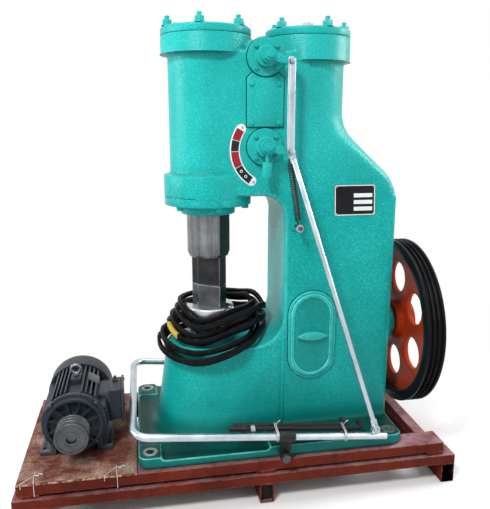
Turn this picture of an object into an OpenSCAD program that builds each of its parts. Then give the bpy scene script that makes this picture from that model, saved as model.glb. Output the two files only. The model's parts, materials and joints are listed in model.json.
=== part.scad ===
/* [Skid] */
// Length of the skid over its lower rails
skid_len = 1280; // [1200:10:1400]
// Width of the skid over its lower rails
skid_w = 520; // [500:5:600]
// Width of each cross tube under the skid
foot_w = 40; // [30:1:60]
// Height of each cross tube under the skid
foot_h = 60; // [40:1:80]
// Place of the middle cross tube, from the skid's centre
foot_mid_x = 56; // [-100:1:100]
// Wall of every skid tube
tube_wall = 3; // [2:0.5:5]
// Height of the skid rails
rail_h = 30; // [25:1:40]
// Width of each lower rail
low_rail_w = 60; // [50:1:80]
// Width of each upper rail
up_rail_w = 70; // [60:1:90]
// Width of the rails across the ends
end_rail_w = 33; // [25:1:45]
// Gap between the two tiers of rails
tier_gap = 10; // [6:1:20]
// How far the upper rails stand back from the outer faces of the lower rails
tier_inset = 7; // [2:1:15]
// Thickness of the motor's board
board_t = 8; // [5:1:20]

/* [Frame casting] */
// Place of the ram's axis, from the skid's centre
ram_x = -73; // [-90:1:-50]
// Distance from the ram's axis to the front edge of the base plate
base_reach = 231; // [220:1:250]
// Length of the base plate
base_len = 780; // [740:5:800]
// Width of the base plate
base_w = 480; // [450:5:490]
// Thickness of the base plate between its pads
base_t = 26; // [20:1:32]
// Height of the machined pads above the base plate
pad_h = 10; // [6:1:14]
// Width of the column below the cylinders
col_w = 240; // [220:2:260]
// Distance from the ram's axis to the column at the back of the throat
throat_depth = 207; // [190:1:220]
// Height of the anvil's top above the skid
anvil_h = 291; // [270:1:310]
// Height of the throat between the anvil and the cylinder
throat_h = 449; // [440:1:470]
// Distance between the working cylinder and the compressor
cyl_pitch = 295; // [285:1:310]
// Outside radius of the working cylinder's barrel
barrel_r = 109; // [100:1:115]
// Outside radius of the compressor's barrel
comp_barrel_r = 106; // [100:1:115]
// Radius of the working cylinder's flanges and cover
flange_r = 127; // [120:1:135]
// Radius of the compressor's flange and cover
comp_flange_r = 122; // [118:1:135]
// Height of the cylinders' top joint above the skid
cyl_h = 1178; // [1160:2:1220]
// Height of the flange at the top of the working cylinder
flange_t = 50; // [40:1:75]
// Height of the flange at the top of the compressor
comp_flange_t = 66; // [50:1:75]
// Thickness of the cylinder covers
cover_t = 22; // [16:1:30]

/* [Ram and dies] */
// Diameter of the ram
ram_d = 127; // [110:1:130]
// Length of the ram
ram_len = 380; // [340:5:420]
// Travel of the ram above its lowest place
ram_stroke = 120; // [80:5:125]
// Length of the face of each die
die_l = 100; // [80:1:106]
// Width of the face of each die
die_w = 50; // [40:1:60]
// Height of the lower die
lower_die_h = 76; // [60:1:85]
// Height of the upper die
upper_die_h = 89; // [70:1:95]
// Turn of both dies about the ram's axis
die_turn = -35; // [-45:1:0]
// Diameter of the anvil cap that holds the lower die
cap_d = 148; // [140:1:160]
// Height of the anvil cap
cap_h = 109; // [90:1:120]

/* [Valve gear] */
// Height of the upper valve above the skid
upper_valve_h = 1116; // [1100:1:1130]
// Height of the lower valve above the skid
lower_valve_h = 878; // [860:1:900]
// Radius of each valve cover
valve_r = 51; // [44:1:54]
// Length of each valve lever between its centres
lever_len = 62; // [50:1:66]
// Angle of both levers at rest, below the horizontal
lever_rest = 11; // [0:0.1:20]
// Diameter of the pins in the valve gear
pin_d = 10; // [8:0.5:12]

/* [Treadle] */
// Outside diameter of the treadle tube
treadle_d = 22; // [18:1:27]
// Distance from each side of the base plate to the treadle's arm beside it
treadle_aside = 22; // [20:1:40]
// Distance from the treadle's pivot forward to its foot bar
treadle_front = 429; // [420:1:450]
// Distance from the treadle's pivot back to the end of its arms
treadle_back = 300; // [290:1:320]
// Place of the treadle's pivot, from the ram's axis
pivot_x = 179; // [150:1:190]
// Height of the treadle tube above its pivot
treadle_rise = 58.5; // [40:0.5:65]
// Slope of the treadle at rest
treadle_rest = 5.3; // [3:0.1:7]

/* [Flywheel] */
// Diameter of the flywheel
wheel_d = 526; // [480:2:540]
// Width of the flywheel's rim
wheel_w = 57; // [50:1:64]
// Height of the crankshaft above the skid
crank_h = 312; // [300:1:330]
// Diameter of the crankshaft
crank_d = 60; // [50:1:70]
// Gap between the column and the flywheel's rim
wheel_gap = 47; // [40:1:60]
// Number of belt grooves
grooves = 3; // [2:1:4]

/* [Motor] */
// Place of the motor's axis, from the skid's centre
motor_x = -480; // [-500:1:-470]
// Height of the motor's axis above its feet
motor_h = 100; // [98:1:112]
// Radius of the motor's fins
motor_r = 94; // [90:1:97]
// Length of the motor's finned body
motor_len = 185; // [170:1:200]
// Diameter of the motor's shaft
shaft_d = 28; // [24:1:32]
// Diameter of the motor's pulley
pulley_d = 92; // [80:1:110]

/* [Hidden] */
$fn = 64;

paint = "#1fae9f";
primer = "#7a2f24";
steel = "#8d9194";
zinc = "#c3cad0";
black = "#1b1c1e";
motor_grey = "#3a4148";

fit = 0.05;        // running clearance, on the radius
seat = 0.3;        // clearance between faces that meet and move
over = 1;          // how far a cut runs past the solid it cuts

// Levels of the skid and of the casting
low_rail_z = foot_h;
tier_z = low_rail_z + rail_h;
up_rail_z = tier_z + tier_gap;
deck_z = up_rail_z + rail_h;
base_top_z = deck_z + base_t;
pad_z = base_top_z + pad_h;
anvil_z = deck_z + anvil_h;
throat_z = anvil_z + throat_h;
joint_z = deck_z + cyl_h;
crank_z = deck_z + crank_h;

// Skid
rail_y = skid_w / 2;
up_y = rail_y - tier_inset;
up_left = -skid_len / 2 + 12;
up_right = skid_len / 2 - 36;
end_rail_setback = 29;

// Frame casting
base_front = ram_x - base_reach;
base_back = base_front + base_len;
base_r = 25;
col_front = ram_x + throat_depth;
col_back = base_back;
col_r = 22;
col_half = col_w / 2;
comp_x = ram_x + cyl_pitch;
panel_half = barrel_r - 1;
valve_x = ram_x + cyl_pitch / 2;
low_fillet = 95;
high_fillet = 60;
shoulder_z = deck_z + 733;
taper_below = 110;
taper_above = 30;
taper_z0 = throat_z - taper_below;
taper_z1 = throat_z + taper_above;
shoulder_in_r = 90;
shoulder_out_r = 100;
low_flange_t = 59;
low_flange_z = throat_z - 1;
guide_t = 28;
gland_r = 80;
gland_t = 28;
bore_r = ram_d / 2 + 5;
hold_x = [base_front + 33, base_back - 33];
hold_y = base_w / 2 - 35;
hold_r = 11;
spot_r = 21;

// Ram and dies
die_slot = 12;
die_cut_l = 25;
die_cut_w = 8;
lower_die_z = anvil_z + cap_h - die_slot;
die_z = lower_die_z + lower_die_h;
upper_die_z = die_z + seat;
ram_z = upper_die_z + upper_die_h;
ram_flat = ram_d / 2 - 8.5;
ram_lip_h = 14;
ram_lip = 6;

// Valve gear: each piece's place along Y, from the casting outwards
cover_plate_t = 10;
valve_boss_t = 16;
lever_y = -(panel_half + cover_plate_t + valve_boss_t + seat);
lever_hub_t = 20;
lever_t = 10;
lever_h = 22;
lever_eye_r = 12;
link_t = 6;
spindle_d = 20;
lever_out_y = lever_y - lever_hub_t;
link_y = lever_out_y - seat;
rod_top_y = link_y - link_t - seat;
pin_z = [lower_valve_h + deck_z, upper_valve_h + deck_z];
lever_dx = lever_len * cos(lever_rest);
lever_dz = -lever_len * sin(lever_rest);
open_fit = 2.4;    // clearance of the open pivot, on the radius

// Treadle, before it is set to its slope about the pivot
treadle_px = ram_x + pivot_x;
treadle_pz = deck_z + (base_t + pad_h) / 2;
treadle_y = base_w / 2 + treadle_aside;
treadle_bend = 45;
treadle_wall = 2.5;
bracket_len = 46;
bracket_r = 16;
ear_t = 12;
ear_r = 15;
pivot_d = 16;
clevis_x = 264;
clevis_rise = 23;
rod_d = 15;
rod_eye_t = 6;
rod_eye_r = 11;

// Flywheel and crankshaft
wheel_x = col_back + wheel_gap;
rim_t = 32;
web_t = 14;
hub_r = 62;
hub_len = 62;
web_holes = 6;
web_hole_r = 49;
web_pitch_r = 142;
groove_pitch = 15;
groove_w = 13;
groove_h = 10;

// Motor
motor_z = deck_z + board_t + motor_h;
motor_y0 = -125;
shield_t = 40;
cowl_len = 80;
pulley_w = 58;
box_d = 36;
box_l = 92;
box_h = 97;
box_y = 50;
box_z = -33;
box_lid_t = 7;
shaft_len = 52;
fin_t = 4;
fin_pitch = 12;
fin_h = 17;
eye_boss = 28;
eye_y = motor_len * 0.55;
motor_foot_x = 80;
motor_foot_w = 44;
motor_foot_t = 12;
motor_leg_x = 65;
motor_leg_w = 16;
motor_foot_hole = 6;
shield_hub_r = shaft_d / 2 + 20;
shield_rim_t = 26;
eye_r = 13;
eye_wire = 4.5;

module rounded_plate(x0, x1, half_y, r, h) {
    linear_extrude(height = h) {
        translate([x0 + r, -half_y]) square([x1 - x0 - 2 * r, 2 * half_y]);
        translate([x0, -half_y + r]) square([x1 - x0, 2 * half_y - 2 * r]);
        for (x = [x0 + r, x1 - r], y = [-half_y + r, half_y - r]) translate([x, y]) circle(r = r);
    }
}

// A bar or disc whose axis runs along Y, from y0 to y1
module disc_y(r, y0, y1) {
    translate([0, y0, 0]) rotate([-90, 0, 0]) cylinder(r = r, h = y1 - y0);
}

// A bar or disc whose axis runs along X, from x0 to x1
module disc_x(r, x0, x1) {
    translate([x0, 0, 0]) rotate([0, 90, 0]) cylinder(r = r, h = x1 - x0);
}

module tube_x(x0, x1, y0, y1, z0, z1) {
    difference() {
        translate([x0, y0, z0]) cube([x1 - x0, y1 - y0, z1 - z0]);
        translate([x0 - over, y0 + tube_wall, z0 + tube_wall])
            cube([x1 - x0 + 2 * over, y1 - y0 - 2 * tube_wall, z1 - z0 - 2 * tube_wall]);
    }
}

module tube_y(x0, x1, y0, y1, z0, z1) {
    difference() {
        translate([x0, y0, z0]) cube([x1 - x0, y1 - y0, z1 - z0]);
        translate([x0 + tube_wall, y0 - over, z0 + tube_wall])
            cube([x1 - x0 - 2 * tube_wall, y1 - y0 + 2 * over, z1 - z0 - 2 * tube_wall]);
    }
}

module both_sides() {
    children();
    mirror([0, 1, 0]) children();
}

// Skid
module skid_feet() {
    color(primer) for (x = [-(skid_len - foot_w) / 2, foot_mid_x, (skid_len - foot_w) / 2])
        tube_y(x - foot_w / 2, x + foot_w / 2, -rail_y, rail_y, 0, foot_h);
}

module lower_rails() {
    color(primer) both_sides()
        tube_x(-skid_len / 2, skid_len / 2, -rail_y, -rail_y + low_rail_w, low_rail_z, tier_z);
}

spacer_len = 50;
module tier_spacers() {
    color(primer) both_sides() for (x = [up_left + 10, foot_mid_x - spacer_len / 2, up_right - spacer_len])
        translate([x, -up_y, tier_z]) cube([spacer_len, low_rail_w - tier_inset, tier_gap]);
}

module upper_rails() {
    color(primer) both_sides() tube_x(up_left, up_right, -up_y, -up_y + up_rail_w, up_rail_z, deck_z);
}

module end_rails() {
    inner = up_y - up_rail_w;
    color(primer) {
        tube_y(up_left, up_left + end_rail_w, -inner, inner, up_rail_z, deck_z);
        tube_y(up_right - end_rail_setback - end_rail_w, up_right - end_rail_setback, -inner, inner,
            up_rail_z, deck_z);
    }
}

board_back = 194;
module motor_board() {
    color("#6b3a2c") translate([up_left + 2, -up_y - 3, deck_z])
        cube([base_front - 5 - up_left - 2, up_y + 3 + board_back, board_t]);
}

// Frame casting
function lerp(a, b, t) = a + (b - a) * t;
function clamp01(t) = max(0, min(1, t));

// Back of the shoulder at height z: an inward arc under the compressor that runs into an outward arc
shoulder_top_x = comp_x + comp_barrel_r;
shoulder_rise = (col_back - shoulder_top_x) + (shoulder_in_r + shoulder_out_r) * (sqrt(2) - 1);
shoulder_top_z = shoulder_z + shoulder_rise;
function shoulder_x(z) =
    z >= shoulder_top_z - shoulder_in_r * sin(45)
        ? shoulder_top_x + shoulder_in_r - sqrt(pow(shoulder_in_r, 2) - pow(min(0, z - shoulder_top_z), 2))
    : z <= shoulder_z + shoulder_out_r * sin(45)
        ? col_back - shoulder_out_r + sqrt(pow(shoulder_out_r, 2) - pow(z - shoulder_z, 2))
    : col_back - shoulder_out_r * (1 - sin(45)) - (z - shoulder_z - shoulder_out_r * sin(45));

shoulder_levels = 13;
shoulder_arc = 8;
function shoulder_t(z) = clamp01((z - shoulder_z) / (shoulder_top_z - shoulder_z));
function shoulder_half(z) = lerp(col_half, panel_half, clamp01((z - taper_z0) / (taper_z1 - taper_z0)));
function shoulder_r(z) = lerp(col_r, comp_barrel_r - 5, shoulder_t(z));
function shoulder_side(z) = min(shoulder_half(z), lerp(panel_half + 6, comp_barrel_r - 1, shoulder_t(z)));
function shoulder_ring(z) = let (w = shoulder_side(z), r = shoulder_r(z), x = shoulder_x(z) - r) concat(
    [[col_front + 30, -w, z]],
    [for (i = [0:shoulder_arc]) let (a = -90 + 90 * i / shoulder_arc)
        [x + r * cos(a), -w + r + r * sin(a), z]],
    [for (i = [0:shoulder_arc]) let (a = 90 * i / shoulder_arc)
        [x + r * cos(a), w - r + r * sin(a), z]],
    [[col_front + 30, w, z]]);

// A solid through a stack of rings that all have the same number of points
module loft(rings) {
    n = len(rings[0]);
    m = len(rings);
    polyhedron(points = [for (ring = rings) each ring],
        faces = concat(
            [[for (i = [0:n - 1]) i]],
            [for (k = [0:m - 2], i = [0:n - 1])
                let (j = (i + 1) % n, a = k * n, b = a + n)
                    each [[a + i, b + i, b + j], [a + i, b + j, a + j]]],
            [[for (i = [n - 1:-1:0]) (m - 1) * n + i]]));
}

module shoulder() {
    loft([for (k = [0:shoulder_levels])
        shoulder_ring(lerp(shoulder_z, shoulder_top_z, k / shoulder_levels))]);
}

module base_plate() {
    translate([0, 0, deck_z]) rounded_plate(base_front, base_back, base_w / 2, base_r, base_t);
    pad_len = 62;
    rear_pad = base_back - (treadle_px - 36);
    intersection() {
        translate([0, 0, base_top_z - over])
            rounded_plate(base_front, base_back, base_w / 2, base_r, pad_h + over);
        union() {
            both_sides() translate([base_front, -base_w / 2, deck_z])
                cube([pad_len, 80, base_t + pad_h]);
            translate([base_back - rear_pad, -base_w / 2, deck_z]) cube([rear_pad, base_w, base_t + pad_h]);
        }
    }
}

anvil_top_r = 110;
anvil_foot_r = 150;
anvil_x = base_front + anvil_foot_r + 59;
anvil_flare = 20;
module anvil_block() {
    translate([anvil_x, 0, base_top_z - over])
        cylinder(r1 = anvil_foot_r + anvil_flare, r2 = anvil_foot_r - 5, h = anvil_flare + over, $fn = 64);
    hull() {
        translate([anvil_x, 0, base_top_z - over])
            cylinder(r1 = anvil_foot_r, r2 = anvil_top_r, h = anvil_z - base_top_z + over, $fn = 64);
        translate([col_front - 10, -col_half + 4, base_top_z - over])
            cube([5, col_w - 8, anvil_z - base_top_z + over]);
    }
}

module side_profile() {
    translate([col_front, deck_z]) square([col_back - col_front, shoulder_z - deck_z]);
    translate([ram_x, throat_z]) square([col_front + 60 - ram_x, joint_z - comp_flange_t - throat_z + 20]);
    difference() {
        translate([col_front - low_fillet, anvil_z]) square([low_fillet + over, low_fillet]);
        translate([col_front - low_fillet, anvil_z + low_fillet]) circle(r = low_fillet);
    }
    difference() {
        translate([col_front - high_fillet, throat_z - high_fillet]) square(high_fillet + over);
        translate([col_front - high_fillet, throat_z - high_fillet]) circle(r = high_fillet);
    }
}

module column() {
    intersection() {
        rotate([90, 0, 0]) linear_extrude(height = col_w, center = true) side_profile();
        translate([ram_x - over, 0, 0]) rotate([90, 0, 90]) linear_extrude(height = base_len)
            polygon([[-col_half, deck_z], [col_half, deck_z], [col_half, taper_z0],
                [panel_half, taper_z1], [panel_half, joint_z], [-panel_half, joint_z],
                [-panel_half, taper_z1], [-col_half, taper_z0]]);
        translate([0, 0, deck_z]) rounded_plate(ram_x - 200, col_back, col_half, col_r, cyl_h);
    }
}

module cylinders() {
    translate([ram_x, 0, joint_z - flange_t]) cylinder(r = flange_r, h = flange_t);
    translate([comp_x, 0, joint_z - comp_flange_t]) cylinder(r = comp_flange_r, h = comp_flange_t);
    translate([ram_x, 0, low_flange_z]) cylinder(r = barrel_r, h = joint_z - low_flange_z);
    translate([ram_x, 0, low_flange_z]) cylinder(r = flange_r, h = low_flange_t);
    translate([comp_x, 0, shoulder_z]) cylinder(r = comp_barrel_r, h = joint_z - shoulder_z);
}

module frame_casting() {
    color(paint) difference() {
        union() {
            base_plate();
            anvil_block();
            column();
            shoulder();
            cylinders();
            for (z = pin_z) translate([valve_x, 0, z]) disc_y(valve_r + 3, -panel_half, panel_half);
        }
        translate([ram_x, 0, low_flange_z - over])
            cylinder(r = bore_r, h = joint_z - low_flange_z + 2 * over);
        for (x = hold_x, y = [-hold_y, hold_y]) {
            translate([x, y, deck_z - over]) cylinder(r = hold_r, h = base_t + pad_h + 2 * over);
            translate([x, y, pad_z - 2]) cylinder(r = spot_r, h = 2 + over);
        }
        for (z = pin_z) translate([valve_x, 0, z])
            disc_y(spindle_d / 2 + 4, -panel_half - over, -panel_half + 30);
        translate([0, 0, crank_z]) disc_x(crank_d / 2 + 4, col_back - 60, col_back + over);
    }
}

module cylinder_cover(x, r) {
    edge = 4;
    translate([x, 0, joint_z]) {
        cylinder(r = r, h = cover_t - edge);
        translate([0, 0, cover_t - edge]) cylinder(r1 = r, r2 = r - edge, h = edge);
    }
}

module working_cylinder_cover() { color(paint) cylinder_cover(ram_x, flange_r); }

module compressor_cover() { color(paint) cylinder_cover(comp_x, comp_flange_r); }

module ram_guide_flange() {
    color(paint) translate([ram_x, 0, low_flange_z - guide_t]) difference() {
        cylinder(r = flange_r, h = guide_t);
        translate([0, 0, -over]) cylinder(r = ram_d / 2 + 3, h = guide_t + 2 * over);
    }
}

module ram_gland() {
    color(paint) translate([ram_x, 0, low_flange_z - guide_t - gland_t]) difference() {
        cylinder(r = gland_r, h = gland_t);
        translate([0, 0, -over]) cylinder(r = ram_d / 2 + fit, h = gland_t + 2 * over);
    }
}

// Dies
module die_block(h) {
    x = die_l / 2;
    y = die_w / 2;
    rotate([0, 0, die_turn]) linear_extrude(height = h)
        polygon([[-x + die_cut_l, -y], [x, -y], [x, y - die_cut_w],
            [x - die_cut_l, y], [-x, y], [-x, die_cut_w - y]]);
}

module anvil_cap() {
    edge = 4;
    color(steel) translate([ram_x, 0, anvil_z]) difference() {
        union() {
            cylinder(r = cap_d / 2, h = cap_h - edge);
            translate([0, 0, cap_h - edge]) cylinder(r1 = cap_d / 2, r2 = cap_d / 2 - edge, h = edge);
        }
        rotate([0, 0, die_turn]) translate([-cap_d, -die_w / 2 - seat, cap_h - die_slot])
            cube([2 * cap_d, die_w + 2 * seat, die_slot + over]);
    }
}

module lower_die() { color("#4a4542") translate([ram_x, 0, lower_die_z]) die_block(lower_die_h); }

module upper_die() { color("#4a4542") translate([ram_x, 0, upper_die_z]) die_block(upper_die_h); }

module ram() {
    color(steel) translate([ram_x, 0, ram_z]) difference() {
        union() {
            cylinder(r1 = ram_d / 2 - ram_lip, r2 = ram_d / 2, h = ram_lip_h);
            translate([0, 0, ram_lip_h]) cylinder(r = ram_d / 2, h = ram_len - ram_lip_h);
        }
        rotate([0, 0, die_turn]) translate([ram_flat, -ram_d / 2, -over])
            cube([ram_d, ram_d, low_flange_z - guide_t - gland_t - ram_z + over]);
    }
}

// Covers on the near side
case_cover_x = col_front + 85;
case_cover_z = deck_z + 322;
case_cover_w = 145;
case_cover_h = 273;
case_cover_t = 8;
case_lip_t = 3;
case_lip_w = 9;
handle_l = 92;
handle_h = 25;
handle_t = 12;
module case_outline(inset) {
    r = case_cover_w / 2 - inset;
    half = (case_cover_h - case_cover_w) / 2;
    translate([-r, -half]) square([2 * r, 2 * half]);
    for (s = [-1, 1]) translate([0, s * half]) circle(r = r);
}

module crankcase_cover() {
    arc = (pow(handle_l / 2, 2) + pow(handle_h / 2, 2)) / handle_h;
    color(paint) translate([case_cover_x, -col_half, case_cover_z]) rotate([90, 0, 0]) {
        linear_extrude(height = case_cover_t) case_outline(0);
        linear_extrude(height = case_cover_t + case_lip_t) difference() {
            case_outline(case_lip_w);
            case_outline(2 * case_lip_w);
        }
        linear_extrude(height = case_cover_t + handle_t) intersection() {
            translate([0, arc - handle_h / 2]) circle(r = arc, $fn = 128);
            translate([0, handle_h / 2 - arc]) circle(r = arc, $fn = 128);
        }
    }
}

chest_w = 102;
chest_z0 = pin_z[0] + valve_r + 3;
chest_z1 = pin_z[1] - valve_r + 12;
chest_cover_t = 7;
module valve_chest_cover() {
    ear = 16;
    x = chest_w / 2;
    color(paint) translate([valve_x, -panel_half, 0]) rotate([90, 0, 0])
        linear_extrude(height = chest_cover_t) difference() {
            polygon([[-x, chest_z0], [x, chest_z0], [x, chest_z1 - ear],
                [x - ear, chest_z1], [ear - x, chest_z1], [-x, chest_z1 - ear]]);
            translate([0, pin_z[1]]) circle(r = valve_r + 2);
        }
}

module valve_cover(z) {
    boss_r = 28;
    translate([valve_x, -panel_half, z]) difference() {
        union() {
            disc_y(valve_r, -cover_plate_t, 0);
            disc_y(boss_r, -cover_plate_t - valve_boss_t, 0);
        }
        disc_y(spindle_d / 2 + fit, -cover_plate_t - valve_boss_t - over, over);
    }
}

module upper_valve_cover() { color(paint) valve_cover(pin_z[1]); }

module lower_valve_cover() { color(paint) valve_cover(pin_z[0]); }

spring_post_x = col_front + 31;
spring_post_z = deck_z + 655;
spring_post_r = 5;
spring_head = 3.5;
spring_y = lever_out_y + lever_t / 2;
module spring_post() {
    base = -shoulder_half(spring_post_z - spring_post_r);
    color(zinc) translate([spring_post_x, 0, spring_post_z]) {
        disc_y(spring_post_r, spring_y - 9, base);
        disc_y(spring_post_r + spring_head, spring_y - 15, spring_y - 9);
    }
}

plate_w = 123;
plate_h = 88;
plate_t = 1.5;
module nameplate() {
    z = shoulder_z - 53;
    lean = atan((col_half - panel_half) / (taper_z1 - taper_z0));
    color(black) translate([col_back - 72 - plate_w, -shoulder_half(z), z]) rotate([-lean, 0, 0])
        translate([0, -plate_t - seat, 0]) cube([plate_w, plate_t, plate_h]);
}

dial_x = valve_x + 15.5;
dial_z = pin_z[0] - 8.5;
dial_r = 100;
dial_w = 28;
dial_t = 1.5;
dial_from = 145;
dial_to = 238;
module valve_dial() {
    color(black) translate([dial_x, -panel_half, dial_z]) rotate([90, 0, 0]) {
        rotate([0, 0, dial_from]) rotate_extrude(angle = dial_to - dial_from)
            translate([dial_r - dial_w / 2, 0]) square([dial_w, dial_t]);
        for (a = [dial_from, dial_to]) rotate([0, 0, a]) translate([dial_r, 0, 0])
            cylinder(r = dial_w / 2 - 0.2, h = dial_t);
    }
}

bearing_flange_r = crank_d / 2 + 52;
bearing_r = crank_d / 2 + 22;
module crank_bearing() {
    flange = 14;
    color(paint) translate([0, 0, crank_z]) difference() {
        union() {
            disc_x(bearing_flange_r, col_back, col_back + flange);
            disc_x(bearing_r, col_back, col_back + wheel_gap - 6);
        }
        disc_x(crank_d / 2 + fit, col_back - over, col_back + wheel_gap);
    }
}

// Belts, each coiled three times round the anvil cap, one belt on the other. The three turns of a belt wind
// about each other and lie flatter against the column's foot. The lowest belt has slipped over the anvil's
// near edge and hangs there, and the two others have sunk into the place that it left.
belt_w = 17;
belt_t = 11;
belt_turns = 3;
belt_steps = 156;
belt_half_y = 102;
belt_right = col_front - 54;
belt_left = [ram_x - 107, ram_x - 117, ram_x - 91.6];
belt_aside = 11.2;
belt_spread = 20;
belt_stack = 13;
belt_flat = 3;
belt_out = 48;
belt_hang = 39;
belt_lift = [0, 0.4, 3.4];
function smooth(t) = let (c = clamp01(t)) c * c * (3 - 2 * c);
function by_column(a) = smooth(1 - abs((a + 180) % 360 - 180) / 55);
function belt_a(a) = lerp(belt_aside, belt_spread, pow(by_column(a), 0.6));
function belt_b(a) = lerp(belt_stack, belt_flat, pow(by_column(a), 2.2));
function belt_pile(a) = belt_w + 0.5 + 1.76 * belt_b(a);
function slipped(a) = smooth((a - 125) / 79) * smooth((335 - a) / 60);
function hanging(a) = pow(sin(180 * clamp01((a - 180) / 115)), 1.5);
function sunk(x, y) = smooth(-y / 95) * smooth((belt_right - 60 - x) / 150);
function belt_on_fillet(x) =
    low_fillet - sqrt(pow(low_fillet, 2) - pow(max(0, x - col_front + low_fillet), 2));
function belt_spine(t, layer) = let (a = (t * 360 * belt_turns) % 360, s = 360 * t + 30,
    low = layer == 0 ? 1 : 0,
    out = low * belt_out * slipped(a),
    half_x = (belt_right - belt_left[layer]) / 2,
    x = belt_right - half_x + (half_x + out) * cos(a),
    y = (belt_half_y + out) * sin(a),
    side = belt_a(a) * cos(s),
    bed = anvil_z + seat + belt_w / 2 + 0.97 * belt_b(a)
        + belt_on_fillet(x + belt_a(a) + belt_t / 2 + 1),
    pile = low == 1 ? -belt_hang * hanging(a)
        : (layer - sunk(x, y)) * belt_pile(a) + belt_lift[layer],
    lift = belt_b(a) * (1 + low * hanging(a) / 2) * sin(s))
    [x + side * cos(a), y + side * sin(a), bed + pile + lift];
function belt_ring(t, layer) = let (c = belt_spine(t, layer), d = belt_spine(t + 0.0005, layer) - c,
    u = [d[0], d[1], 0] / norm([d[0], d[1]]), out = [u[1], -u[0], 0])
    [for (q = [[-0.5, 0.36], [0.5, 0.5], [0.5, -0.5], [-0.5, -0.36]])
        c + out * q[0] * belt_t + [0, 0, q[1] * belt_w]];

module belt(layer) {
    rings = [for (k = [0:belt_steps - 1]) belt_ring(k / belt_steps, layer)];
    n = len(rings[0]);
    polyhedron(points = [for (q = rings) each q], faces = [for (k = [0:belt_steps - 1], i = [0:n - 1])
        let (j = (i + 1) % n, a = k * n, b = ((k + 1) % belt_steps) * n)
        each [[a + i, b + i, b + j], [a + i, b + j, a + j]]]);
}

module drive_belts() {
    color(black) for (layer = [0:2]) belt(layer);
}

// Valve levers: the lower pin carries the flat bar and the rod's eye, the upper one the bar alone
lever_hub_r = 19;
module lever(z, pin_end) {
    hub_face = 1.5;
    translate([valve_x, 0, z]) {
        disc_y(spindle_d / 2, lever_y - over, -panel_half + 20);
        disc_y(lever_hub_r, lever_out_y - hub_face, lever_y);
        translate([0, lever_out_y + lever_t, 0]) rotate([90, lever_rest, 0])
            linear_extrude(height = lever_t) {
                translate([0, -lever_h / 2]) square([lever_len, lever_h]);
                translate([lever_len, 0]) circle(r = lever_eye_r);
            }
        translate([lever_dx, 0, lever_dz]) disc_y(pin_d / 2, pin_end - 8, lever_out_y + over);
    }
}

module upper_valve_lever() { color(paint) lever(pin_z[1], rod_top_y); }

grip_d = 27;
grip_len = 42;
grip_stem = 40;
module lower_valve_lever() {
    color(paint) {
        lever(pin_z[0], rod_top_y - rod_eye_t);
        translate([valve_x, lever_out_y + lever_hub_t / 2, pin_z[0] - grip_stem]) {
            cylinder(d = spindle_d / 2, h = grip_stem - spindle_d / 2);
            translate([0, 0, -grip_len]) cylinder(d = grip_d, h = grip_len);
        }
    }
}

module valve_link() {
    link_w = 21;
    h = pin_z[1] - pin_z[0];
    color(zinc) translate([valve_x + lever_dx, link_y, pin_z[0] + lever_dz]) rotate([90, 0, 0])
        linear_extrude(height = link_t) difference() {
            union() {
                translate([-link_w / 2, 0]) square([link_w, h]);
                for (z = [0, h]) translate([0, z]) circle(d = link_w);
            }
            for (z = [0, h]) translate([0, z]) circle(r = pin_d / 2 + fit);
        }
}

// Treadle, modelled level about its pivot and then set to its slope
module at_pivot() {
    translate([treadle_px, 0, treadle_pz]) rotate([0, treadle_rest, 0]) children();
}

module treadle_path(r, back) {
    for (s = [0, 1]) mirror([0, s, 0]) translate([-treadle_front + treadle_bend, -treadle_y, 0]) {
        disc_x(r, 0, treadle_front - treadle_bend + back);
        translate([0, treadle_bend, 0]) rotate([0, 0, 180]) rotate_extrude(angle = 90)
            translate([treadle_bend, 0]) circle(r = r);
    }
    translate([-treadle_front, 0, 0]) disc_y(r, -treadle_y + treadle_bend, treadle_y - treadle_bend);
}

module treadle_tube() {
    color(zinc) at_pivot() translate([0, 0, treadle_rise]) difference() {
        treadle_path(treadle_d / 2, treadle_back);
        treadle_path(treadle_d / 2 - treadle_wall, treadle_back + over);
    }
}

module treadle_brackets() {
    color(black) at_pivot() both_sides() translate([0, -treadle_y, 0]) difference() {
        union() {
            translate([0, 0, treadle_rise]) disc_x(bracket_r, -bracket_len / 2, bracket_len / 2);
            translate([-ear_r, -ear_t / 2, 0]) cube([2 * ear_r, ear_t, treadle_rise]);
            disc_y(ear_r, -ear_t / 2, ear_t / 2);
        }
        translate([0, 0, treadle_rise]) disc_x(treadle_d / 2 + fit, -bracket_len, bracket_len);
        disc_y(pivot_d / 2 + fit, -ear_t, ear_t);
    }
}

module treadle_pivot_bolts() {
    color(black) translate([treadle_px, 0, treadle_pz]) both_sides() {
        disc_y(pivot_d / 2, -treadle_y - ear_t / 2 - 2, -base_w / 2);
        disc_y(pivot_d / 2 + 5, -treadle_y - ear_t / 2 - 9, -treadle_y - ear_t / 2 - seat);
        disc_y(pivot_d / 2 + 4, -treadle_y + ear_t / 2 + seat, -base_w / 2);
    }
}

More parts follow.
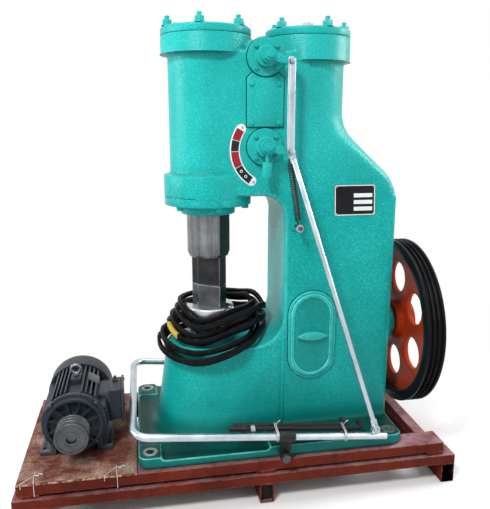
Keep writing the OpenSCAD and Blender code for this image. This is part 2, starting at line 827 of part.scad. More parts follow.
// Place of the clevis pin when the treadle is at rest
clevis_local = [clevis_x, treadle_rise + clevis_rise];
clevis_px = treadle_px + clevis_local[0] * cos(treadle_rest) + clevis_local[1] * sin(treadle_rest);
clevis_pz = treadle_pz - clevis_local[0] * sin(treadle_rest) + clevis_local[1] * cos(treadle_rest);
cheek_t = 5;
module treadle_clevis() {
    color(steel) at_pivot() translate([clevis_x, -treadle_y, treadle_rise]) {
        for (s = [-1, 1]) translate([0, s * (rod_eye_t / 2 + seat + cheek_t / 2), 0]) difference() {
            union() {
                translate([-12, -cheek_t / 2, 0]) cube([24, cheek_t, clevis_rise]);
                translate([0, 0, clevis_rise]) disc_y(12, -cheek_t / 2, cheek_t / 2);
            }
            disc_x(treadle_d / 2 + fit, -20, 20);
        }
        pin_half = rod_eye_t / 2 + cheek_t + 6;
        translate([0, 0, clevis_rise]) disc_y(pin_d / 2, -pin_half, pin_half);
    }
}

// A flattened end of the rod, its eye at the origin and the rod towards +Z
rod_tab = 30;
module rod_end(hole) {
    tab_w = 2 * rod_eye_r - 4;
    rotate([90, 0, 0]) linear_extrude(height = rod_eye_t, center = true) difference() {
        union() {
            circle(r = rod_eye_r);
            translate([-tab_w / 2, 0]) square([tab_w, rod_tab]);
        }
        circle(r = hole);
    }
}

module treadle_rod() {
    top = [valve_x + lever_dx, rod_top_y - rod_eye_t / 2, pin_z[0] + lever_dz];
    low = [clevis_px, -treadle_y, clevis_pz];
    d = low - top;
    l = norm(d);
    along = atan2(d[0], d[2]);
    color(zinc) {
        translate(top) rotate([0, along, 0]) rod_end(pin_d / 2 + open_fit);
        translate(low) rotate([0, along + 180, 0]) rod_end(pin_d / 2 + fit);
        translate(top) rotate([0, acos(d[2] / l), atan2(d[1], d[0])])
            translate([0, 0, rod_tab - 8]) cylinder(d = rod_d, h = l - 2 * rod_tab + 16);
    }
}

// Two foundation bolts with hooked ends that lie on the bracket beside the treadle's near arm
bolt_r = 7;
bolt_front = 165;
bolt_len = 380;
bolt_nut_r = 12;
bolt_pitch = bolt_nut_r * cos(30) + bolt_r + seat;
bolt_nut_t = 14;
hook_r = 18;
hook_leg = 22;
module foundation_bolts() {
    reach = bracket_r + bolt_r + seat;
    lean = 40;
    color(black) at_pivot() translate([0, -treadle_y + reach * cos(lean), treadle_rise + reach * sin(lean)])
        for (i = [0, 1]) translate([i * 14 - bolt_front, i * bolt_pitch, 0]) {
            end = bolt_len - i * 60;
            disc_x(bolt_r, 0, end);
            translate([34 + i * 20, 0, 0]) rotate([0, 90, 0])
                cylinder(r = bolt_nut_r, h = bolt_nut_t, $fn = 6);
            translate([end, hook_r, 0]) rotate([0, 0, -90]) rotate_extrude(angle = 90)
                translate([hook_r, 0]) circle(r = bolt_r);
            translate([end + hook_r, 0, 0]) disc_y(bolt_r, hook_r, hook_r + hook_leg);
        }
}

// Spring between the lower lever and its post: a coil whose straight ends hook on
spring_r = 5.5;
spring_wire = 1.4;
spring_turns = 20;
spring_steps = 10;
spring_end = 16;
spring_lead = 20;
spring_top = [valve_x + lever_dx, spring_y, pin_z[0] + lever_dz - lever_eye_r - seat];
spring_low = [spring_post_x, spring_y, spring_post_z + spring_post_r + seat];
spring_len = norm(spring_low - spring_top);
spring_last = spring_turns * spring_steps;
function spring_angle(k) = spring_lead + 360 * k / spring_steps;
function spring_at(k) = let (a = spring_angle(k), t = k / spring_last)
    [spring_r * cos(a), spring_r * sin(a), lerp(spring_end, spring_len - spring_end, t)];
function spring_ring(c, a, up) = [for (i = [0:3]) c + spring_wire * (cos(90 * i) * [cos(a), sin(a), 0]
    + sin(90 * i) * (up ? [-sin(a), cos(a), 0] : [0, 0, -1]))];
module return_spring() {
    d = spring_low - spring_top;
    a1 = spring_angle(spring_last) + spring_lead;
    first = [spring_r, 0, spring_end - 3];
    last = [spring_r * cos(a1), spring_r * sin(a1), spring_len - spring_end + 3];
    color(black) translate(spring_top) rotate([0, acos(d[2] / spring_len), atan2(d[1], d[0])])
        loft(concat([spring_ring([0, 0, 0], 0, true), spring_ring(first, 0, true)],
            [for (k = [0:spring_last]) spring_ring(spring_at(k), spring_angle(k), false)],
            [spring_ring(last, a1, true), spring_ring([0, 0, spring_len], a1, true)]));
}

// Flywheel
module groove() {
    top = groove_w / 2;
    floor = groove_w * 0.3;
    polygon([[over, -top], [over, top], [-groove_h, floor], [-groove_h, -floor]]);
}

module flywheel_profile() {
    r = wheel_d / 2;
    rim_in = r - rim_t;
    difference() {
        union() {
            translate([rim_in, 0]) square([rim_t, wheel_w]);
            translate([crank_d / 2 + fit, (wheel_w - web_t) / 2]) square([rim_in - crank_d / 2, web_t]);
            translate([crank_d / 2 + fit, 0]) square([hub_r - crank_d / 2, hub_len]);
        }
        for (i = [0:grooves - 1]) translate([r, wheel_w / 2 + (i - (grooves - 1) / 2) * groove_pitch])
            groove();
    }
}

module flywheel() {
    color("#c1462b") translate([wheel_x, 0, crank_z]) rotate([0, 90, 0]) difference() {
        rotate_extrude($fn = 128) flywheel_profile();
        for (i = [0:web_holes - 1]) rotate([0, 0, i * 360 / web_holes]) translate([web_pitch_r, 0, -over])
            cylinder(r = web_hole_r, h = wheel_w + 2 * over);
    }
}

module crankshaft() {
    color(steel) translate([0, 0, crank_z]) disc_x(crank_d / 2, col_back - 55, wheel_x + hub_len + 6);
}

// Motor, its axis along Y with the shaft towards the near side
module at_motor() {
    translate([motor_x, motor_y0, motor_z]) children();
}

// Section of the finned body: upright fins on top and level ones at the sides
module motor_section() {
    circle(r = motor_r - fin_h);
    intersection() {
        circle(r = motor_r);
        union() {
            for (s = [-1, 1], i = [1:4]) translate([s * (eye_boss / 2 - 3 + fin_pitch * i) - fin_t / 2, 0])
                square([fin_t, motor_r]);
            for (i = [-3:3]) translate([-motor_r, fin_pitch * i - fin_t / 2]) square([2 * motor_r, fin_t]);
        }
    }
}

module motor_frame() {
    feet_len = motor_len - 10;
    color(motor_grey) at_motor() difference() {
        union() {
            translate([0, motor_len, 0]) rotate([90, 0, 0])
                linear_extrude(height = motor_len) motor_section();
            for (s = [-1, 1]) translate([s * motor_foot_x - motor_foot_w / 2, 0, -motor_h])
                cube([motor_foot_w, feet_len, motor_foot_t]);
            for (s = [-1, 1]) translate([s * motor_leg_x - motor_leg_w / 2, 0, -motor_h + motor_foot_t / 2])
                cube([motor_leg_w, feet_len, motor_h * 0.6]);
            translate([-eye_boss / 2, eye_y - 24, 0]) cube([eye_boss, 48, motor_r]);
            translate([0, box_y + 6, box_z + 8]) cube([motor_r, box_l - 12, box_h - 16]);
        }
        for (s = [-1, 1], y = [20, feet_len - 20]) translate([s * (motor_foot_x + 11), y, -motor_h - over])
            cylinder(r = motor_foot_hole, h = motor_foot_t + 2 * over);
    }
}

module motor_endshield() {
    rib = 5;
    flange = 13;
    rim_r = motor_r - 14;
    color(motor_grey) at_motor() difference() {
        union() {
            rotate([90, 0, 0]) rotate_extrude() difference() {
                union() {
                    square([motor_r - 4, flange]);
                    square([rim_r, shield_rim_t]);
                    square([shield_hub_r, shield_t]);
                }
                translate([shield_hub_r, flange - 1]) square([rim_r - 8 - shield_hub_r, shield_t]);
            }
            for (a = [15:30:345]) rotate([0, a, 0]) translate([-rib / 2, 2 - shield_rim_t, shield_hub_r - 4])
                cube([rib, shield_rim_t - flange, rim_r - shield_hub_r]);
        }
        disc_y(shaft_d / 2 + fit, -shield_t - over, over);
    }
}

module fan_cowl() {
    r = motor_r + 3;
    edge = 14;
    slot = 6;
    color(motor_grey) at_motor() difference() {
        translate([0, motor_len, 0]) rotate([-90, 0, 0]) rotate_extrude() {
            square([r, cowl_len - edge]);
            square([r - edge, cowl_len]);
            translate([r - edge, cowl_len - edge]) circle(r = edge);
        }
        for (a = [0:24:336]) rotate([0, a, 0]) translate([-slot / 2, motor_len + cowl_len - 8, r / 4])
            cube([slot, 8 + over, r / 2]);
    }
}

module terminal_box() {
    color(motor_grey) at_motor() translate([motor_r, box_y, box_z]) cube([box_d, box_l, box_h]);
}

module terminal_box_lid() {
    lip = 4;
    color(motor_grey) at_motor() translate([motor_r + box_d, box_y - lip, box_z - lip])
        cube([box_lid_t, box_l + 2 * lip, box_h + 2 * lip]);
}

module lifting_eye() {
    color(zinc) at_motor() translate([0, eye_y, motor_r]) {
        cylinder(r = 2 * eye_wire, h = 10);
        translate([0, 0, eye_r + 2 * eye_wire]) rotate([90, 0, 0]) rotate_extrude()
            translate([eye_r, 0]) circle(r = eye_wire);
    }
}

module motor_shaft() {
    color(steel) at_motor() disc_y(shaft_d / 2, -shield_t - shaft_len, -seat);
}

module motor_pulley() {
    color(steel) at_motor() translate([0, -shield_t - 3, 0]) rotate([90, 0, 0])
        rotate_extrude() difference() {
            translate([shaft_d / 2 + fit, 0]) square([(pulley_d - shaft_d) / 2 - fit, pulley_w]);
            for (i = [0:grooves - 1])
                translate([pulley_d / 2, pulley_w / 2 + (i - (grooves - 1) / 2) * groove_pitch]) groove();
        }
}

skid_feet();
lower_rails();
tier_spacers();
upper_rails();
end_rails();
motor_board();
frame_casting();
working_cylinder_cover();
compressor_cover();
ram_guide_flange();
ram_gland();
anvil_cap();
lower_die();
crankcase_cover();
valve_chest_cover();
upper_valve_cover();
lower_valve_cover();
spring_post();
nameplate();
valve_dial();
crank_bearing();
drive_belts();
treadle_pivot_bolts();
ram();
upper_die();
upper_valve_lever();
lower_valve_lever();
valve_link();
treadle_rod();
treadle_tube();
treadle_brackets();
treadle_clevis();
foundation_bolts();
return_spring();
flywheel();
crankshaft();
motor_frame();
motor_endshield();
fan_cowl();
terminal_box();
terminal_box_lid();
lifting_eye();
motor_shaft();
motor_pulley();
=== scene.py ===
import json
import math
import bpy
import bmesh
from mathutils import Matrix, Vector


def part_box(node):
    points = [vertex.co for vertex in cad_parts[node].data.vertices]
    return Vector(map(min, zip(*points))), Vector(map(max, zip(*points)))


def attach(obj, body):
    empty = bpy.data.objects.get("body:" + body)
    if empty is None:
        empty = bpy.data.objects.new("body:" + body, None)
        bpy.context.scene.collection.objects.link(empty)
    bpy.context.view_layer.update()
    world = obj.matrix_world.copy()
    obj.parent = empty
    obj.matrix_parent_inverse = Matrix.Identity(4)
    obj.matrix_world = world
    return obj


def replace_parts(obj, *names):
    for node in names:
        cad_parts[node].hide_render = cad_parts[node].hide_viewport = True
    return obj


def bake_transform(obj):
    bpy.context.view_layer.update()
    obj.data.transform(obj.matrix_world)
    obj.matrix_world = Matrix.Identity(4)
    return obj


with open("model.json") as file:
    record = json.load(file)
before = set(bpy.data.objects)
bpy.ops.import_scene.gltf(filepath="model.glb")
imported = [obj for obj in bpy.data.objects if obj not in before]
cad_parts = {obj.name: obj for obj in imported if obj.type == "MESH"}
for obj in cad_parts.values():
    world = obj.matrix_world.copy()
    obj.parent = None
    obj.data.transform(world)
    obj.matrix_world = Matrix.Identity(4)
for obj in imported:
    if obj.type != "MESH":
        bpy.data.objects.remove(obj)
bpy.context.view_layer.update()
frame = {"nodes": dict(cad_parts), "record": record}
cad = frame["nodes"]
bodyOf = {node: body for body, members in frame["record"]["behaviour"]["bodies"].items() for node in members}
print("frame loaded:", len(cad), "nodes")


def low(node):
    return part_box(node)[0]


def high(node):
    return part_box(node)[1]


def middle(node):
    return (low(node) + high(node)) / 2


def addObject(name, data):
    made = bpy.data.objects.new(name, data)
    bpy.context.scene.collection.objects.link(made)
    return made


def toMesh(name, bm):
    mesh = bpy.data.meshes.new(name)
    bm.to_mesh(mesh)
    bm.free()
    return mesh


# the camera stands where the photo was taken, low and a little left of the ram
cameraSet = {"place": (-0.2742, -1.7092, 1.0766), "yaw": 0.181, "tilt": 0.217,
             "focalPixels": 581.4, "imageHeight": 509, "sensor": 36, "shiftY": -0.0092}


def makeCamera():
    data = bpy.data.cameras.new("camera")
    data.sensor_width = cameraSet["sensor"]
    data.lens = cameraSet["focalPixels"] / cameraSet["imageHeight"] * cameraSet["sensor"]
    data.shift_y = cameraSet["shiftY"]
    data.clip_start = 0.05
    camera = addObject("camera", data)
    yaw, tilt = cameraSet["yaw"], cameraSet["tilt"]
    look = Vector((math.sin(yaw) * math.cos(tilt), math.cos(yaw) * math.cos(tilt), -math.sin(tilt)))
    camera.location = cameraSet["place"]
    camera.rotation_mode = "QUATERNION"
    camera.rotation_quaternion = look.to_track_quat("-Z", "Y")
    bpy.context.scene.camera = camera


makeCamera()
print("camera placed")


class Finish:  # a material with short names for the nodes used here
    def __init__(self, name):
        self.material = bpy.data.materials.new(name)
        self.material.use_nodes = True
        self.tree = self.material.node_tree
        self.shader = self.tree.nodes["Principled BSDF"]
        self.place = self.add("ShaderNodeTexCoord").outputs["Object"]

    def add(self, kind, **values):
        node = self.tree.nodes.new(kind)
        for key, value in values.items():
            setattr(node, key, value)
        return node

    def put(self, node, key, value):
        if isinstance(value, bpy.types.NodeSocket):
            self.tree.links.new(value, node.inputs[key])
        elif node.inputs[key].type == "RGBA":
            node.inputs[key].default_value = (*value, 1)
        else:
            node.inputs[key].default_value = value

    def putAll(self, node, **values):
        for key, value in values.items():
            self.put(node, key.replace("_", " "), value)
        return node

    def noise(self, scale, detail=3.0, rough=0.55, stretch=None):
        node = self.add("ShaderNodeTexNoise")
        vector = self.place
        if stretch:
            mapping = self.putAll(self.add("ShaderNodeMapping"), Vector=self.place, Scale=stretch)
            vector = mapping.outputs["Vector"]
        self.putAll(node, Vector=vector, Scale=scale, Detail=detail, Roughness=rough)
        return node.outputs["Fac"]

    def cells(self, scale):
        node = self.add("ShaderNodeTexVoronoi", feature="SMOOTH_F1")
        self.putAll(node, Vector=self.place, Scale=scale)
        return node.outputs["Distance"]

    def ramp(self, value, *stops):
        node = self.add("ShaderNodeValToRGB")
        self.put(node, "Fac", value)
        stopList = node.color_ramp.elements
        while len(stopList) < len(stops):
            stopList.new(0.5)
        for element, (at, color) in zip(stopList, stops):
            element.position = at
            element.color = (*color, 1) if isinstance(color, tuple) else (color, color, color, 1)
        return node.outputs["Color"]

    def math(self, operation, a, b=0.0):
        node = self.add("ShaderNodeMath", operation=operation)
        self.put(node, 0, a)
        self.put(node, 1, b)
        return node.outputs[0]

    def times(self, *values):
        total = values[0]
        for value in values[1:]:
            total = self.math("MULTIPLY", total, value)
        return total

    def mix(self, amount, a, b):
        node = self.add("ShaderNodeMix", data_type="RGBA")
        self.put(node, 0, amount)
        self.put(node, 6, a)
        self.put(node, 7, b)
        return node.outputs[2]

    def along(self, key):  # a coordinate of the point
        node = self.add("ShaderNodeSeparateXYZ")
        self.put(node, 0, self.place)
        return node.outputs[key]

    def facing(self, key="Z"):  # a part of the normal
        node = self.add("ShaderNodeSeparateXYZ")
        self.put(node, 0, self.add("ShaderNodeNewGeometry").outputs["Normal"])
        return node.outputs[key]

    def edges(self, start=0.52, end=0.62):
        return self.ramp(self.add("ShaderNodeNewGeometry").outputs["Pointiness"], (start, 0.0), (end, 1.0))

    def bump(self, height, strength, distance):
        node = self.add("ShaderNodeBump")
        self.putAll(node, Height=height, Strength=strength, Distance=distance)
        self.put(self.shader, "Normal", node.outputs["Normal"])

    def done(self, color, rough, metal=0.0, **sockets):
        self.putAll(self.shader, Base_Color=color, Roughness=rough, Metallic=metal, **sockets)
        return self.material


# in greenSet, under is the colour of painted shade on undersides, edge the colour of painted highlight on
# rims, and grime serves for dirt and for painted shade in corners and on the base tops
greenSet = {"dark": (0.003, 0.250, 0.228), "mid": (0.005, 0.362, 0.342), "light": (0.040, 0.560, 0.530),
            "foot": (0.001, 0.118, 0.104), "footLight": (0.001, 0.168, 0.152), "footTop": (0.172, 0.225),
            "edge": (0.180, 0.820, 0.770), "grime": (0.005, 0.042, 0.037), "under": (0.002, 0.090, 0.080),
            "band": (0.168, 0.176), "grain": 285, "gloss": 0.15}


def hammeredGreen(name, worn):
    f = Finish(name)
    dimple = f.cells(greenSet["grain"])
    fine = f.noise(620, 2)
    blotch = f.noise(6, 4)
    tone = f.math("ADD", f.times(dimple, 0.55), f.times(fine, 0.35))
    tone = f.math("ADD", tone, f.times(f.math("SUBTRACT", blotch, 0.5), 0.5))
    color = f.ramp(tone, (0.22, greenSet["dark"]), (0.46, greenSet["mid"]), (0.78, greenSet["light"]))
    height = f.along("Z")  # painted shade darkens the paint lower down, painted light makes it paler higher up
    color = f.mix(f.ramp(height, (0.17, 0.6), (0.42, 0.0)), color, greenSet["dark"])
    color = f.mix(f.ramp(height, (0.85, 0.0), (1.0, 0.24)), color, greenSet["light"])
    upward = f.math("ADD", f.times(f.facing(), 0.5), 0.5)  # painted shade darkens undersides; tops are paler, partly dust and partly painted light
    color = f.mix(f.ramp(upward, (0.05, 0.75), (0.45, 0.0)), color, greenSet["under"])
    color = f.mix(f.ramp(upward, (0.7, 0.0), (0.95, 0.3)), color, greenSet["light"])
    footLow, footHigh = greenSet["footTop"]
    foot = f.ramp(height, (footLow, 1.0), (footHigh, 0.0))
    color = f.mix(foot, color, f.mix(f.noise(14), greenSet["foot"], greenSet["footLight"]))
    # the base plate's tops are darkened: partly dirt, partly painted shade for the shadow the body casts on
    # them
    baseTopShadeAndDirt = f.times(foot, f.ramp(f.facing(), (0.55, 0.0), (0.9, 0.95)),
                      f.ramp(f.noise(9, 5), (0.3, 0.6), (0.65, 1.0)))
    color = f.mix(baseTopShadeAndDirt, color, greenSet["grime"])
    if worn:  # pale rims on sharp edges are painted highlight, partly rubbed paint, and the corners are darkened with painted shade, partly dirt
        above = f.math("SUBTRACT", 1.0, foot)
        bandLow, bandHigh = greenSet["band"]  # a painted highlight line along the base plate's upper edge
        band = f.ramp(f.facing(), (0.30, 0.0), (0.50, 1.0), (0.80, 1.0), (0.95, 0.0))
        band = f.times(foot, band, f.edges(0.505, 0.518), f.ramp(height, (bandLow, 0.8), (bandHigh, 0.0)))
        sharp = f.math("ADD", f.times(above, f.edges(0.514, 0.580)), band)
        rim = f.times(sharp, f.ramp(f.noise(28, 4), (0.35, 0.3), (0.7, 1.0)), worn)
        color = f.mix(rim, color, greenSet["edge"])
        # concave corners are darkened with the grime colour: painted shade, partly dirt
        creaseShadeAndDirt = f.ramp(f.add("ShaderNodeNewGeometry").outputs["Pointiness"], (0.43, 0.7), (0.492, 0.0))
        color = f.mix(creaseShadeAndDirt, color, greenSet["grime"])
    grime = f.times(f.ramp(f.noise(34, 6, 0.7), (0.60, 0.0), (0.78, 0.35)),
                    f.ramp(height, (0.15, 1.0), (0.9, 0.2)))
    color = f.mix(grime, color, greenSet["grime"])
    f.bump(f.math("ADD", dimple, f.times(fine, 0.35)), 0.50, 0.0014)
    return f.done(color, f.ramp(blotch, (0.3, 0.26), (0.7, 0.38)), Specular_IOR_Level=greenSet["gloss"])


primerSet = {"red": (0.135, 0.020, 0.010), "deep": (0.075, 0.010, 0.006), "dust": (0.460, 0.290, 0.320),
             "scuff": (0.340, 0.150, 0.115), "streak": (0.035, 0.007, 0.005), "dusty": (0.1, 0.5)}


def skidPrimer():
    f = Finish("skidPrimer")
    patch = f.noise(7, 5, 0.6)
    color = f.ramp(patch, (0.3, primerSet["deep"]), (0.62, primerSet["red"]))
    # up-facing faces get a pale lilac mix: dust, brightened into a painted highlight on the tops
    dusty = f.times(f.ramp(f.facing(), (0.5, 0.0), (0.9, 1.0)),
                    f.ramp(f.noise(22, 6, 0.7), (0.32, 0.1), (0.62, 0.7)))
    start, end = primerSet["dusty"]  # the dust and its painted highlight grow stronger towards the flywheel
    dusty = f.times(dusty, f.ramp(f.along("X"), (start, 0.6), (end, 1.0)))
    color = f.mix(dusty, color, primerSet["dust"])
    scuff = f.times(f.edges(), f.ramp(f.noise(60, 4), (0.5, 0.0), (0.62, 0.6)))
    color = f.mix(scuff, color, primerSet["scuff"])
    streak = f.times(f.ramp(f.noise(30, 5, 0.65, (1, 1, 0.15)), (0.52, 0.0), (0.72, 0.5)),
                     f.math("ABSOLUTE", f.facing("Y")))
    color = f.mix(streak, color, primerSet["streak"])
    f.bump(f.noise(160, 4), 0.25, 0.0008)
    return f.done(color, f.ramp(patch, (0.3, 0.46), (0.7, 0.68)), Specular_IOR_Level=0.06)


boardSet = {"dark": (0.050, 0.012, 0.009), "mid": (0.120, 0.032, 0.021), "light": (0.200, 0.075, 0.046),
            "dust": (0.480, 0.350, 0.270), "chip": (0.480, 0.300, 0.190)}


def stainedBoard():
    f = Finish("stainedBoard")
    grain = f.noise(26, 6, 0.6, (1.0, 9.0, 9.0))
    color = f.ramp(grain, (0.30, boardSet["dark"]), (0.52, boardSet["mid"]), (0.75, boardSet["light"]))
    dust = f.times(f.ramp(f.noise(10, 7, 0.68), (0.44, 0.0), (0.66, 0.95)),
                   f.ramp(f.facing(), (0.5, 0.0), (0.9, 1.0)),
                   f.ramp(f.noise(190, 3, 0.7), (0.35, 0.3), (0.65, 1.0)))
    color = f.mix(dust, color, boardSet["dust"])
    chip = f.times(f.ramp(f.noise(75, 5, 0.7), (0.46, 0.0), (0.54, 1.0)),
                   f.ramp(f.math("ABSOLUTE", f.facing()), (0.2, 1.0), (0.7, 0.0)))
    color = f.mix(chip, color, boardSet["chip"])
    f.bump(f.math("ADD", grain, f.noise(300, 3)), 0.4, 0.0012)
    return f.done(color, 0.82, Specular_IOR_Level=0.2)


metalSet = {"streak": (0.045, 0.042, 0.040), "soot": (0.030, 0.032, 0.033), "rust": (0.120, 0.045, 0.020),
            "rubbed": (0.50, 0.51, 0.52)}


def metalFinish(name, light, dark, rough, lines=None, metal=1.0, rust=0.0, wear=0.0, streak=0.0, soot=0.0):
    f = Finish(name)
    cloud = f.noise(18, 5, 0.6)
    color = f.ramp(cloud, (0.3, dark), (0.7, light))
    fine = f.noise(240, 3, 0.6, lines) if lines else f.noise(380, 4, 0.6)
    color = f.mix(f.times(f.ramp(fine, (0.35, 1.0), (0.65, 0.0)), 0.35), color, dark)
    if streak:  # stains that run down
        stain = f.ramp(f.noise(60, 4, 0.6, (1, 1, 0.06)), (0.42, 0.0), (0.68, 1.0))
        color = f.mix(f.times(stain, streak), color, metalSet["streak"])
    if soot:  # painted reflection: the side towards the column is darkened, standing in for dark surroundings mirrored there
        stain = f.ramp(f.facing("X"), (0.25, 0.0), (0.75, 1.0))
        color = f.mix(f.times(stain, soot), color, metalSet["soot"])
    if rust:
        stain = f.ramp(f.noise(55, 6, 0.7), (0.56, 0.0), (0.72, 1.0))
        color = f.mix(f.times(stain, rust), color, metalSet["rust"])
    if wear:
        color = f.mix(f.times(f.edges(), wear), color, metalSet["rubbed"])
    f.bump(fine, 0.2, 0.0004)
    return f.done(color, f.ramp(cloud, (0.3, rough - 0.07), (0.7, rough + 0.08)), metal)


paintSet = {"rubbed": (0.30, 0.30, 0.30), "dust": (0.34, 0.31, 0.28)}


def paintFinish(name, light, dark, rough, grain=300, worn=0.4, gloss=0.25, dust=0.16):
    f = Finish(name)
    cloud = f.noise(13, 5, 0.6)
    color = f.ramp(cloud, (0.3, dark), (0.7, light))
    color = f.mix(f.times(f.edges(0.53, 0.66), f.noise(90, 4), worn), color, paintSet["rubbed"])
    dusty = f.times(f.ramp(f.facing(), (0.6, 0.0), (1.0, dust)), f.noise(35, 5))
    color = f.mix(dusty, color, paintSet["dust"])
    f.bump(f.noise(grain, 3), 0.22, 0.0008)
    return f.done(color, f.ramp(cloud, (0.3, rough - 0.06), (0.7, rough + 0.08)), Specular_IOR_Level=gloss)


wheelSet = {"rimInside": 0.2305, "web": (0.440, 0.042, 0.008), "webDark": (0.270, 0.022, 0.005),
            "rim": (0.003, 0.003, 0.004), "rimLight": (0.016, 0.017, 0.019)}


def wheelPaint():
    f = Finish("wheelPaint")
    y, z = f.along("Y"), f.math("SUBTRACT", f.along("Z"), middle("flywheel").z)
    radius = f.math("SQRT", f.math("ADD", f.times(y, y), f.times(z, z)))
    rim = f.math("GREATER_THAN", radius, wheelSet["rimInside"])
    web = f.ramp(f.noise(12, 5), (0.3, wheelSet["webDark"]), (0.7, wheelSet["web"]))
    black = f.mix(f.times(f.noise(70, 4), 0.35), wheelSet["rim"], wheelSet["rimLight"])
    f.bump(f.noise(150, 3), 0.25, 0.0008)
    return f.done(f.mix(rim, web, black), f.ramp(rim, (0.0, 0.42), (1.0, 0.28)), Specular_IOR_Level=0.1)


def beltRubber():
    f = Finish("beltRubber")
    color = f.ramp(f.noise(45, 4), (0.3, (0.002, 0.002, 0.003)), (0.75, (0.009, 0.009, 0.010)))
    f.bump(f.noise(600, 2), 0.3, 0.0005)
    return f.done(color, f.ramp(f.noise(30), (0.3, 0.34), (0.7, 0.50)), Specular_IOR_Level=0.1)


green = hammeredGreen("hammeredGreen", 0.85)
smallGreen = hammeredGreen("smallGreen", 0.0)
primer = skidPrimer()
board = stainedBoard()
turned = metalFinish("turnedSteel", (0.74, 0.77, 0.80), (0.44, 0.46, 0.48), 0.28, (1, 1, 30), rust=0.12)
ramSteel = metalFinish("ramSteel", (0.34, 0.35, 0.37), (0.14, 0.145, 0.15), 0.36, (1, 1, 40), rust=0.1,
                       streak=0.6, soot=0.95)
# both dies are the same steel in two copies; the upper die's copy is darker, as painted shade
shadedDieSteel = metalFinish("shadedDieSteel", (0.048, 0.051, 0.053), (0.020, 0.021, 0.022), 0.44, rust=0.2, wear=0.35)
lowDieSteel = metalFinish("lowDieSteel", (0.145, 0.150, 0.160), (0.060, 0.062, 0.066), 0.40, rust=0.2,
                          wear=0.35)
pulleySteel = metalFinish("pulleySteel", (0.135, 0.140, 0.150), (0.065, 0.068, 0.075), 0.40, rust=0.08)
galvanised = metalFinish("galvanised", (0.64, 0.71, 0.76), (0.42, 0.48, 0.52), 0.32, rust=0.06)
eyeSteel = metalFinish("eyeSteel", (0.30, 0.31, 0.33), (0.16, 0.165, 0.175), 0.38, rust=0.1)
spotSteel = metalFinish("spotSteel", (0.46, 0.48, 0.48), (0.20, 0.22, 0.21), 0.42, rust=0.3)
brightBolt = metalFinish("brightBolt", (0.56, 0.58, 0.60), (0.32, 0.33, 0.35), 0.30)
greyBolt = metalFinish("greyBolt", (0.150, 0.152, 0.158), (0.070, 0.072, 0.076), 0.40, rust=0.15)
blackSteel = paintFinish("blackSteel", (0.012, 0.012, 0.013), (0.004, 0.004, 0.005), 0.40, gloss=0.2,
                         dust=0.12)
wheel = wheelPaint()
rubber = beltRubber()
motorPaint = paintFinish("motorPaint", (0.025, 0.034, 0.047), (0.012, 0.017, 0.025), 0.40, 260, gloss=0.2,
                         dust=0.10)
springSteel = metalFinish("springSteel", (0.060, 0.058, 0.058), (0.025, 0.025, 0.026), 0.42, metal=0.7)
shadeOutlineDark = paintFinish("shadeOutlineDark", (0.004, 0.120, 0.106), (0.002, 0.060, 0.052), 0.6, worn=0.0,
                         gloss=0.1, dust=0.0)
plateBlack = paintFinish("plateBlack", (0.009, 0.010, 0.012), (0.005, 0.005, 0.006), 0.35, worn=0.1,
                         gloss=0.15)
plateWhite = paintFinish("plateWhite", (0.80, 0.81, 0.82), (0.70, 0.71, 0.72), 0.40, worn=0.1)
dialRed = paintFinish("dialRed", (0.35, 0.008, 0.020), (0.25, 0.005, 0.013), 0.38, worn=0.1, gloss=0.15)
shadeBlack = paintFinish("shadeBlack", (0.010, 0.010, 0.010), (0.005, 0.005, 0.005), 0.8, worn=0.0, dust=0.0)
plugPlastic = paintFinish("plugPlastic", (0.62, 0.60, 0.54), (0.44, 0.42, 0.37), 0.5, worn=0.1)
tieWire = metalFinish("tieWire", (0.70, 0.70, 0.69), (0.48, 0.47, 0.45), 0.45, metal=0.6, rust=0.2)
paperBand = paintFinish("paperBand", (0.62, 0.46, 0.06), (0.46, 0.33, 0.04), 0.6, worn=0.2)
print("finishes made")


def addPiece(name, bm, material=smallGreen, body="machine", smooth=38, recalc=False):
    if recalc:
        bmesh.ops.remove_doubles(bm, verts=bm.verts, dist=1e-6)
        bmesh.ops.recalc_face_normals(bm, faces=bm.faces)
    mesh = toMesh(name, bm)
    piece = addObject(name, mesh)
    mesh.materials.append(material)
    mesh.polygons.foreach_set("use_smooth", [True] * len(mesh.polygons))
    mesh.set_sharp_from_angle(angle=math.radians(smooth))
    if body:
        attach(piece, body)
    return piece


def cadCopy(node):
    bm = bmesh.new()
    bm.from_mesh(cad[node].data)
    bmesh.ops.remove_doubles(bm, verts=bm.verts, dist=2e-5)
    return bm


def sharpEdges(bm, degrees):
    return [e for e in bm.edges if e.is_manifold and e.calc_face_angle(0) > math.radians(degrees)]


def bevelEdges(bm, edges, width, segments=2):
    bmesh.ops.bevel(bm, geom=list(edges), offset=width, offset_type="OFFSET", affect="EDGES",
                    segments=segments, profile=0.5, material=-1, clamp_overlap=True)


def camel(node):
    words = node.split("_")
    return words[0] + "".join(word.capitalize() for word in words[1:])


def softened(node, material, width, sharp=32):
    bm = cadCopy(node)
    bmesh.ops.dissolve_limit(bm, angle_limit=math.radians(1.5), verts=bm.verts, edges=bm.edges,
                             use_dissolve_boundaries=False)
    bevelEdges(bm, sharpEdges(bm, sharp), width)
    # an inset on the larger flats keeps the pale edge marks at their edges: wear, and on the worn green
    # paint also painted highlight
    flats = [face for face in bm.faces if len(face.verts) == 4
             and min(e.calc_length() for e in face.edges) > 8 * width
             and all(abs(corner.calc_angle() - math.pi / 2) < 0.05 for corner in face.loops)]
    flats += [face for face in bm.faces if len(face.verts) > 4 and face.calc_area() > 400 * width ** 2
              and all(corner.is_convex for corner in face.loops)]
    bmesh.ops.inset_individual(bm, faces=flats, thickness=1.5 * width, depth=0, use_even_offset=True)
    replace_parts(addPiece(camel(node), bm, material, bodyOf[node]), node)


